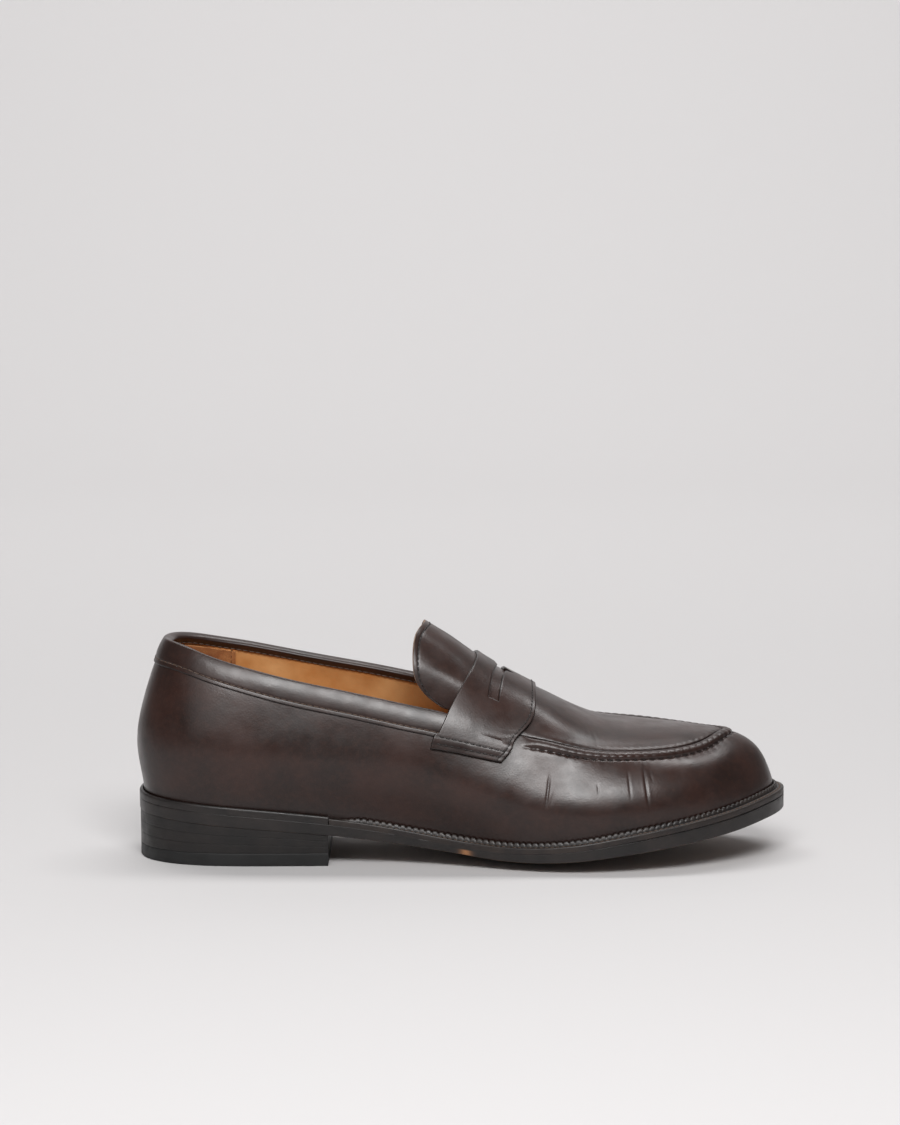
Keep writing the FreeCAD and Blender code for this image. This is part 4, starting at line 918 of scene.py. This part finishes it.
probe = np.linspace(-0.5, 0.5, 101)
probe_y = over_instep(np.full(101, 17.0), probe * 0.81)[0][:, 1]
slot_reach = np.interp([-SLOT_HALF, SLOT_HALF], probe_y, probe)
notch_reach = np.interp(NOTCH_HALF, probe_y, probe)
near = np.array([0, 0.004, 0.009, 0.015, 0.024, 0.04])
side_reach = np.concatenate([[0, notch_reach * 0.33, notch_reach * 0.66, notch_reach],
                             np.linspace(notch_reach, slot_reach[1] - 0.045, 14)[1:],
                             slot_reach[1] - near[::-1], slot_reach[1] + near[1:],
                             np.linspace(slot_reach[1] + 0.045, 0.955, 52)[1:], 1 - near[::-1]])
reach = np.concatenate([-side_reach[:0:-1], side_reach])
y_at = np.interp(reach, probe, probe_y)
toward_end = np.minimum(np.abs(y_at) / SLOT_HALF, 1)
slot_rear = SLOT_REAR[0] + (SLOT_REAR[1] - SLOT_REAR[0]) * toward_end
slot_front = SLOT_FRONT[0] + (SLOT_FRONT[1] - SLOT_FRONT[0]) * toward_end
slot_front = slot_front + (SLOT_POINT - SLOT_FRONT[0]) * np.clip(1 - np.abs(y_at) / NOTCH_HALF, 0, 1)
far = np.abs(reach)
width = strap_front(far) - strap_rear(far)
share_a = np.clip((slot_rear - strap_rear(far)) / width, 0.05, 0.5)
share_b = np.clip((slot_front - strap_rear(far)) / width, share_a + 0.1, 0.9)
fine = np.array([0, 0.008, 0.02, 0.036, 0.06, 0.1, 0.15, 0.22, 0.31, 0.41])
band = np.concatenate([fine, [0.5], 1 - fine[::-1]])
shares = np.concatenate([band[None] * share_a[:, None],
                         share_b[:, None] + (1 - share_b[:, None]) * band[None]], axis=1)
base, t_at, marks = strap_grid(np.broadcast_to(reach[:, None], shares.shape), shares)
square = normals(base)
square *= np.where(np.sum(square * (base - [20, 0, 40]), -1, keepdims=True) < 0, -1, 1)
off_slot = np.maximum(slot_rear[:, None] - base[..., 0], base[..., 0] - slot_front[:, None])
to_slot = np.hypot(np.maximum(off_slot, 0), np.maximum(np.abs(base[..., 1]) - SLOT_HALF, 0))
side_length = length_of(base[-1] - base[-8])[:, 0].mean() / (reach[-1] - reach[-8])
to_end = (1 - far)[:, None] * side_length
to_rear, to_front = shares * width[:, None], (1 - shares) * width[:, None]
to_edge = np.minimum(np.minimum(to_rear, to_front), np.minimum(to_end, to_slot))
EDGE_ROUND = 0.5
short = EDGE_ROUND - np.minimum(to_edge, EDGE_ROUND)
drop = EDGE_ROUND - np.sqrt(np.clip(EDGE_ROUND ** 2 - short ** 2, 0, None))
groove = 0.07 * np.exp(-((to_front - EDGE_ROW) / 0.4) ** 2)
groove = groove + sum(0.07 * np.exp(-((to_end - at) / 0.4) ** 2) for at in TAB_ROWS)
# Over the collar and the gathered ridge the strap rides up a little, and it is wrinkled below them.
rides = sum(np.exp(-((t_at - marks[..., i] + off) / 0.035) ** 2) for i, off in ((0, -0.03), (1, 0.03)))
ride_up = 0.35 * rides * smooth_step(shares, 0.45, 1.0)
wrinkle = 0.0
for at, slant, depth in ((0.70, 10, 0.06), (0.76, 16, 0.08), (0.82, 13, 0.05)):
    line = (np.abs(t_at) / 0.8 - at) * 60 + (shares - 0.9) * slant
    wrinkle = wrinkle + depth * np.exp(-(line / 1.1) ** 2) * smooth_step(shares, 0.5, 0.95)
# It lies closer over the tongue and is pressed flat at the tabs' ends.
crossing = np.abs(marks).mean()
over_tongue = 1 - smooth_step(np.abs(t_at), crossing - 0.28, crossing - 0.08)
lift = STRAP_LIFT - 0.5 * over_tongue + ride_up + 0.07 * ripple(base, 24, 51) + 0.015 * ripple(base, 8, 52)
sink = (1 - smooth_step(to_end, 0.0, 5.0)) * 0.72
top_side = base + square * (lift - sink * 0.5 + STRAP - drop - groove - wrinkle * 0.8)[..., None]
under_side = base + square * (lift - sink - 0.1)[..., None]
cells = np.ones((len(reach) - 1, shares.shape[1] - 1), bool)
cells[np.abs(y_at[1:] + y_at[:-1]) / 2 < SLOT_HALF, len(band) - 1] = False


def plate(name, top, bottom, keep, shade):
    """A closed sheet between two grids of points, with the cells left open that aren't kept."""
    n, m = top.shape[:2]
    index = np.arange(n * m).reshape(n, m)
    corners = [index[:-1, :-1], index[1:, :-1], index[1:, 1:], index[:-1, 1:]]
    over = np.stack([c[keep] for c in corners], axis=-1)
    faces = [over, over[:, ::-1] + n * m]
    framed = np.pad(keep, 1)
    beyond = [framed[1:-1, :-2], framed[2:, 1:-1], framed[1:-1, 2:], framed[:-2, 1:-1]]
    for i in range(4):
        open_side = keep & ~beyond[i]
        a, b = corners[i][open_side], corners[(i + 1) % 4][open_side]
        faces.append(np.stack([b, a, a + n * m, b + n * m], axis=-1))
    points = np.concatenate([top.reshape(-1, 3), bottom.reshape(-1, 3)])
    # The underside gets painted shade.
    paint = np.concatenate([np.ravel(shade), np.full(n * m, 0.6)])
    return new_mesh(name, points, np.concatenate(faces), paint)


# The strap's edges are darkened partly by their real edge paint and partly by painted shade; painted shade
# also lies in the stitch grooves and the wrinkles.
strap_shade = 0.85 * np.exp(-(to_edge / 0.3) ** 2) + 6.0 * groove + 0.5 * wrinkle + 0.05
strap = plate("saddle_strap_calf", top_side, under_side, cells, np.clip(strap_shade, 0, 1))
dress(strap, "shoe", "upper_calf", [calf], "saddle_strap")


def along_strap(points, distances, wanted, keep):
    """A row of points across the strap's columns at a distance from one of its edges."""
    picked = []
    for i in np.flatnonzero(keep):
        order = np.argsort(distances[i])
        picked.append([np.interp(wanted, distances[i][order], points[i, order, k]) for k in range(3)])
    return np.array(picked)


lying = top_side + square * 0.12
front_row = tuple(along_strap(grid, to_front, EDGE_ROW, far < 0.93) for grid in (lying, square))
strap_thread = sew("strap_edge_stitches", [front_row], dark_thread, 2.3, 1.7, 0.27, 0.28, 11)
dress(strap_thread, "shoe", "sewing_thread", [], "saddle_edge_stitching")
inside_band = (shares[-1] > 0.09) & (shares[-1] < 0.91)
for word, half in (("lateral", reach < -0.5), ("medial", reach > 0.5)):
    ends_at = np.broadcast_to(to_end, shares.shape)[half].T
    turned = [grid[half].transpose(1, 0, 2) for grid in (lying, square)]
    tab_rows = [tuple(along_strap(grid, ends_at, at, inside_band) for grid in turned) for at in TAB_ROWS]
    tab_thread = sew("strap_tab_stitches_" + word, tab_rows, dark_thread, 2.8, 2.1, 0.33, 0.34, 13)
    dress(tab_thread, "shoe", "sewing_thread", [], "saddle_tab_stitching_" + word)

# ---- Welt ------------------------------------------------------------------------------------
# A storm welt is sewn to the rib from one side of the heel round the toe to the other. Its raised
# bead closes the gap to the upper and is wheeled with fine notches.
BEAD = 1.9
NOTCH_PITCH = 2.9
WELT_END = -60.5
GROOVE_HALF = 0.55


def strip(point, out, base, profile):
    """Rings of a strip that follows the outline. Its profile's points are (inwards, up) in mm."""
    rows = [np.column_stack([point - out * np.reshape(inwards + 0 * base, (-1, 1)), base + up])
            for inwards, up in profile]
    return np.stack(rows, axis=1)


def stitch_line(x):
    """How far in from the welt's edge its stitches run."""
    return (welt_width(x) - 1.7) / 2


welt_s = np.linspace(place_at(WELT_END, -1), place_at(WELT_END, 1), 1250)
point, out = outline_at(welt_s)
x = point[:, 0]
notch = (0.5 + 0.5 * np.cos(2 * math.pi * chords(point[None])[0] / NOTCH_PITCH)) ** 5
bead = (BEAD - 0.75 * notch) * smooth_step(x, -58.0, -44.0)
inner_edge = welt_width(x) - 0.35
gutter = stitch_line(x)
profile = [(0, 0.02), (0, 0.8), (0, 1.9), (0.06, WELT - 0.4), (0.22, WELT - 0.12), (0.5, WELT),
           (gutter - GROOVE_HALF, WELT), (gutter - 0.3, WELT - 0.22),
           (gutter + 0.3, WELT - 0.22), (gutter + GROOVE_HALF, WELT),
           (inner_edge - 2.0, WELT), (inner_edge - 1.85, WELT + 0.35 * bead),
           (inner_edge - 1.55, WELT + 0.75 * bead), (inner_edge - 1.1, WELT + bead),
           (inner_edge - 0.6, WELT + bead), (inner_edge - 0.25, WELT + 0.8 * bead),
           (inner_edge, WELT + 0.3 * bead), (inner_edge, 0.02)]
rings = strip(point, out, sole_edge(x) + outsole(x), profile)
rings[:, 1:3, :2] += out[:, None] * 0.05 * ripple(rings[:, 1:3], 7, 61)[..., None]
# Painted shade in the stitch gutter, at the bead's foot, in its notches and along its inner side under the
# upper.
welt_shade = np.zeros(rings.shape[:2])
welt_shade[:, [7, 8]] = 0.7
welt_shade[:, 10] = 0.8
welt_shade[:, [12, 13, 14]] = 0.55 * notch[:, None]
welt_shade[:, [15, 16]] = 0.8


def edge_finish(name, dark, light, rough, lines=0.0):
    """Cut leather edge: dyed, waxed and burnished to a low shine, with a few scuffs, and painted shade
    where its shade attribute is above 0. Lines is the depth in mm of the rasp's marks along it."""
    made, tree, shader, mm = start_material(name)
    colour = clouded(tree, mm, 8, 0.35, 0.7, linear(dark), linear(light))
    # Above 0 the shade attribute is painted shade in grooves, notches and joints; below 0 the ink is rubbed
    # off.
    shade_attribute = add(tree, "ShaderNodeAttribute", {}, "Fac", attribute_name="shade")
    colour = add(tree, "ShaderNodeMix", {0: shade_attribute, 6: colour, 7: linear("#0b0807")}, 2, data_type="RGBA")
    rubbed = add(tree, "ShaderNodeMapRange", {0: shade_attribute, 1: 0.0, 2: -1.0})
    colour = add(tree, "ShaderNodeMix", {0: rubbed, 6: colour, 7: linear("#9a6b45")}, 2, data_type="RGBA")
    layers = [((0.9, 3.0), 0.03), ((6, 2.0), 0.12)]
    if lines:
        drawn = add(tree, "ShaderNodeVectorMath", {0: mm, 1: (0.03, 0.03, 1.6)}, operation="MULTIPLY")
        marks = add(tree, "ShaderNodeTexNoise", {"Vector": drawn, "Scale": 1.0, "Detail": 3.0})
        layers.insert(1, (marks, lines))
    fill(shader, {"Base Color": colour, "Normal": embossed(tree, mm, layers),
                  "Roughness": uneven_shine(tree, mm, 5, 0.3, 0.7, rough - 0.06, rough + 0.1)})
    return made


welt_leather = edge_finish("welt_leather_dyed_waxed", "#181211", "#2b221d", 0.42)
welt = build("storm_welt_leather", rings, "zip", welt_shade)
dress(welt, "shoe", "sole_leather", [welt_leather], "welt")

# ---- Bottom filling --------------------------------------------------------------------------
# A spring steel shank stiffens the waist and granulated cork levels the forefoot inside the rib.
finish_node("cork_filler", fibrous("cork_granulated_bound", "#6e4c2c", "#c99d68", 0.9, 2.5, 0.2))


def metal_finish(name, dark, light, patch, low, high, grain, rough):
    """Bare metal, clouded by its heat or its tumbling in patches, with a finer uneven shine."""
    made, tree, shader, mm = start_material(name)
    colour = clouded(tree, mm, patch, low, high, linear(dark), linear(light), detail=3.0)
    shine = uneven_shine(tree, mm, grain, 0.2, 0.8, 0.3, rough)
    fill(shader, {"Base Color": colour, "Metallic": 1.0, "Roughness": shine})
    return made


blued = metal_finish("spring_steel_blued", "#4f5560", "#7c8088", 4, 0.3, 0.7, 1.5, 0.5)
finish_node("shank", blued)

# ---- Outsole ---------------------------------------------------------------------------------
# Oak bark tanned sole bend, lockstitched through the welt. Its edge is trimmed flush with the
# welt, inked and waxed; the tread is left natural and is scuffed by wear.
TOUCH = 0.06


def tread(x, y):
    """Height of the sole's underside, which bulges down under its middle."""
    share = np.minimum(np.abs(y) / sole_half(x), 1.2)
    return sole_edge(x) - sole_belly(x) * (1 - share * share)


def bed(level):
    """A height field at a level over the sole's upper side."""
    return lambda x, y: tread(x, y) + outsole(x) + level


def pad(s, inset, low, high, soften, pivot, reach=6.0):
    """Loops of a plate whose rim follows the outline: underside, rounded edge and upper side. Gives
    also the first and last loop of its edge."""
    point, out = outline_at(s)
    rim = point - out * np.reshape(inset(point[:, 0]), (-1, 1))
    core = rim - out * reach
    spine = (core + core[::-1]) / 2
    spine[:, 0] = pivot + (spine[:, 0] - pivot) * 0.93
    plans = [spine + (core - spine) * share for share in (0.04, 0.3, 0.6, 0.85)] + [
        rim - out * d for d in (reach, reach / 2, soften * 1.6)]
    angles = np.radians([0, 22, 45, 68, 90])
    rounded = [(rim - out * soften * (1 - math.sin(a)), soften * (1 - math.cos(a))) for a in angles]
    levels = [(plan, low, 0.0) for plan in plans] + [(plan, low, up) for plan, up in rounded]
    levels += [(rim, None, share) for share in (0.2, 0.4, 0.6, 0.8)]
    levels += [(plan, high, -up) for plan, up in rounded[::-1]]
    levels += [(plan, high, 0.0) for plan in plans[::-1]]
    rings = []
    for plan, field, up in levels:
        x, y = plan.T
        z = field(x, y) + up if field else (low(x, y) + soften) * (1 - up) + (high(x, y) - soften) * up
        rings.append(np.column_stack([plan, z]))
    return np.array(rings), len(plans), len(plans) + 2 * len(rounded) + 4


def round_loop(count):
    """Places round the outline, as many on the lateral side as on the medial side."""
    half = (np.arange(count) + 0.5) / count
    return np.concatenate([TOE * half, TOE + (ROUND - TOE) * half])


rings, first, last = pad(round_loop(360), lambda x: 0 * x, tread, bed(-TOUCH), 0.2, 0.0)
rings[first:last, :, :2] += 0.05 * ripple(rings[first:last], 9, 71)[..., None]
sole_shade = np.zeros(rings.shape[:2])
# A nick in the edge shows the natural leather.
nick = np.exp(-((rings[..., 0] - 1.5) / 2.2) ** 2) * (rings[..., 1] < 0)
sole_shade[first + 4:last - 6] = -0.9 * nick[first + 4:last - 6]
sole_edge_ink = edge_finish("sole_leather_edge_inked_waxed", "#120f0e", "#211b19", 0.36)
natural = edge_finish("sole_leather_tread_worn", "#4a3527", "#7d5c40", 0.6)
sole = build("outsole_leather", rings, "zip", sole_shade)
# Faces that look down are the tread.
facing = np.zeros((len(sole.data.polygons), 3), np.float32)
sole.data.polygons.foreach_get("normal", facing.ravel())
sole.data.polygons.foreach_set("material_index", (facing[:, 2] < -0.7).astype(np.int32))
dress(sole, "shoe", "sole_leather", [sole_edge_ink, natural], "outsole")

stitch_s = np.linspace(place_at(-40, -1), place_at(-40, 1), 500)
point, out = outline_at(stitch_s)
x = point[:, 0]
row = strip(point, out, sole_edge(x) + outsole(x), [(stitch_line(x), WELT - 0.12)])[:, 0]
upward = np.tile([0.0, 0.0, 1.0], (len(row), 1))
welt_thread = sew("outsole_lockstitches", [(row, upward)], brown_thread, 2.5, 2.1, 0.33, 0.35, 15)
dress(welt_thread, "shoe", "sewing_thread", [], "outsole_stitching")

# ---- Heel ------------------------------------------------------------------------------------
# A leather rand carries the welt's line round the heel. Three leather lifts are pasted and nailed
# under it, then a rubber top piece; the stack is rasped, inked and burnished in one go.
RAND = 3.5
RUBBER = 6.0
HEEL_BREAST = -61.0
heel_s = np.linspace(place_at(HEEL_BREAST, 1), place_at(HEEL_BREAST, -1) + ROUND, 300)
point, out = outline_at(heel_s)
x = point[:, 0]
inner_edge = welt_width(x) - 0.35
profile = [(0, 0.02), (0, 0.9), (0, 2.2), (0.1, RAND - 0.45), (0.35, RAND - 0.12), (0.8, RAND),
           (inner_edge - 0.4, RAND), (inner_edge, RAND - 0.5), (inner_edge, RAND / 2), (inner_edge, 0.02)]
rings = strip(point, out, sole_edge(x) + outsole(x), profile)
rand = build("heel_rand_leather", rings)
dress(rand, "shoe", "sole_leather", [sole_edge_ink], "heel_rand")


def heel_level(share, gap=0.0):
    """A height field between the top piece's upper side (0) and the sole (1), less a gap."""
    return lambda x, y: RUBBER + (sole_edge(x) - TOUCH - sole_belly(x) - RUBBER) * share - gap


def heel_flat(height):
    return lambda x, y: 0 * x + height


stack_ink = edge_finish("heel_stack_leather_rasped_inked", "#0d0a09", "#191412", 0.42, 0.06)
rubber = edge_finish("heel_rubber_moulded", "#0e0e0e", "#171717", 0.55)
heel_parts = [("heel_top_piece_rubber", "heel_top_piece", heel_flat(0), heel_flat(RUBBER - TOUCH),
               rubber, "heel_rubber", 0.35)]
for i in range(3):
    heel_parts.append((f"heel_lift_leather_{i + 1}", f"heel_lift_{i + 1}", heel_level(i / 3),
                       heel_level((i + 1) / 3, TOUCH), stack_ink, "heel_stack_leather", 0.05))
for name, node, low_field, high_field, made, slot_name, soften in heel_parts:
    rings, first, last = pad(heel_s, lambda x: 0 * x + 0.4, low_field, high_field, soften, HEEL_BREAST)
    rings[first:last, :, :2] += 0.06 * ripple(rings[first:last], 11, 81)[..., None]
    lift_shade = np.zeros(rings.shape[:2])
    # Painted shade along each layer's lower edge, at the joint under it.
    lift_shade[first:first + 2] = 0.3
    piece = build(name, rings, "zip", lift_shade)
    dress(piece, "shoe", slot_name, [made], node)
for name, metal, dark, light in (("heel_nails", "steel_nails_tumbled", "#7f7768", "#a39a88"),
                                 ("heel_top_piece_nails", "brass_nails_tumbled", "#8c6b2c", "#c29a4a")):
    finish_node(name, metal_finish(metal, dark, light, 0.8, 0.0, 1.0, 0.6, 0.55))

# ---- Sock liner ------------------------------------------------------------------------------
# Thin calf pasted over the whole insole once the last is out, slightly dished by the foot.
INSOLE = 2.6
SOCK = 0.9
SOCK_CLEAR = 1.15        # the sock's rim stands this far inside the linings


def sock_inset(x):
    return welt_width(x) - INNER + LINING + SOCK_CLEAR


rings, _, _ = pad(round_loop(200), sock_inset, bed(WELT + INSOLE), bed(WELT + INSOLE + SOCK), 0.3, 0.0)
sock = build("sock_liner_leather", rings)
dress(sock, "shoe", "lining_leather", [tan], "sock_liner")

# ---- Floor, light and camera -----------------------------------------------------------------
# A pale seamless sweep under a large overhead softbox, with a low fill from the viewer's side.
floor_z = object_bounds()[0][2]
quarter_turn = np.linspace(0, np.pi / 2, 16)[1:]
sweep_y = np.concatenate([np.linspace(-4.0, 1.6, 30), 1.6 + np.sin(quarter_turn), [2.6]])
sweep_z = np.concatenate([np.zeros(30), 1.0 - np.cos(quarter_turn), [4.0]])
corners = [[(x, y, z + floor_z) for x in np.linspace(-4, 4, 9)] for y, z in zip(sweep_y, sweep_z)]
index = np.arange(len(corners) * 9).reshape(len(corners), 9)
faces = np.stack([index[:-1, :-1], index[:-1, 1:], index[1:, 1:], index[1:, :-1]], axis=-1).reshape(-1, 4)
mesh = bpy.data.meshes.new("studio_sweep")
mesh.from_pydata(np.reshape(corners, (-1, 3)).tolist(), [], faces.tolist())
mesh.polygons.foreach_set("use_smooth", np.ones(len(faces), bool))
sweep = bpy.data.objects.new("studio_sweep", mesh)
bpy.context.scene.collection.objects.link(sweep)
paper, _, shader, _ = start_material("studio_paper_matt")
fill(shader, {"Base Color": linear("#c5c3c3"), "Roughness": 0.9, "Specular IOR Level": 0.1})
sweep.data.materials.append(paper)

world = bpy.data.worlds.new("studio_surround")
world.use_nodes = True
fill(world.node_tree.nodes["Background"], {"Color": linear("#e6e5e6"), "Strength": 0.22})
bpy.context.scene.world = world


def softbox(name, place, aim, size, power):
    lamp = bpy.data.lights.new(name, "AREA")
    lamp.shape = "RECTANGLE"
    lamp.size, lamp.size_y = size
    lamp.energy = power
    made = bpy.data.objects.new(name, lamp)
    heading = np.array(aim) - np.array(place)
    made.location = place
    made.rotation_euler = Vector(heading.tolist()).to_track_quat("-Z", "Y").to_euler()
    bpy.context.scene.collection.objects.link(made)


softbox("overhead_softbox", (0.03, -0.95, 0.98), (0, 0, 0.05), (0.8, 0.4), 16)
softbox("front_fill", (-0.9, -1.8, 0.9), (0, 0, 0.05), (1.0, 0.8), 3)
softbox("backdrop_wash", (0, 0.9, 2.6), (0, 2.5, 0.4), (3.0, 1.0), 82)
bpy.context.scene.view_settings.view_transform = "Standard"

camera_data = bpy.data.cameras.new("camera")
camera_data.sensor_width = 36
camera_data.lens = 102.72
camera = bpy.data.objects.new("camera", camera_data)
camera.location = (-0.0056, -1.464, 0.325)
camera.rotation_euler = (math.radians(82.6), 0, 0)
bpy.context.scene.collection.objects.link(camera)
bpy.context.scene.camera = camera
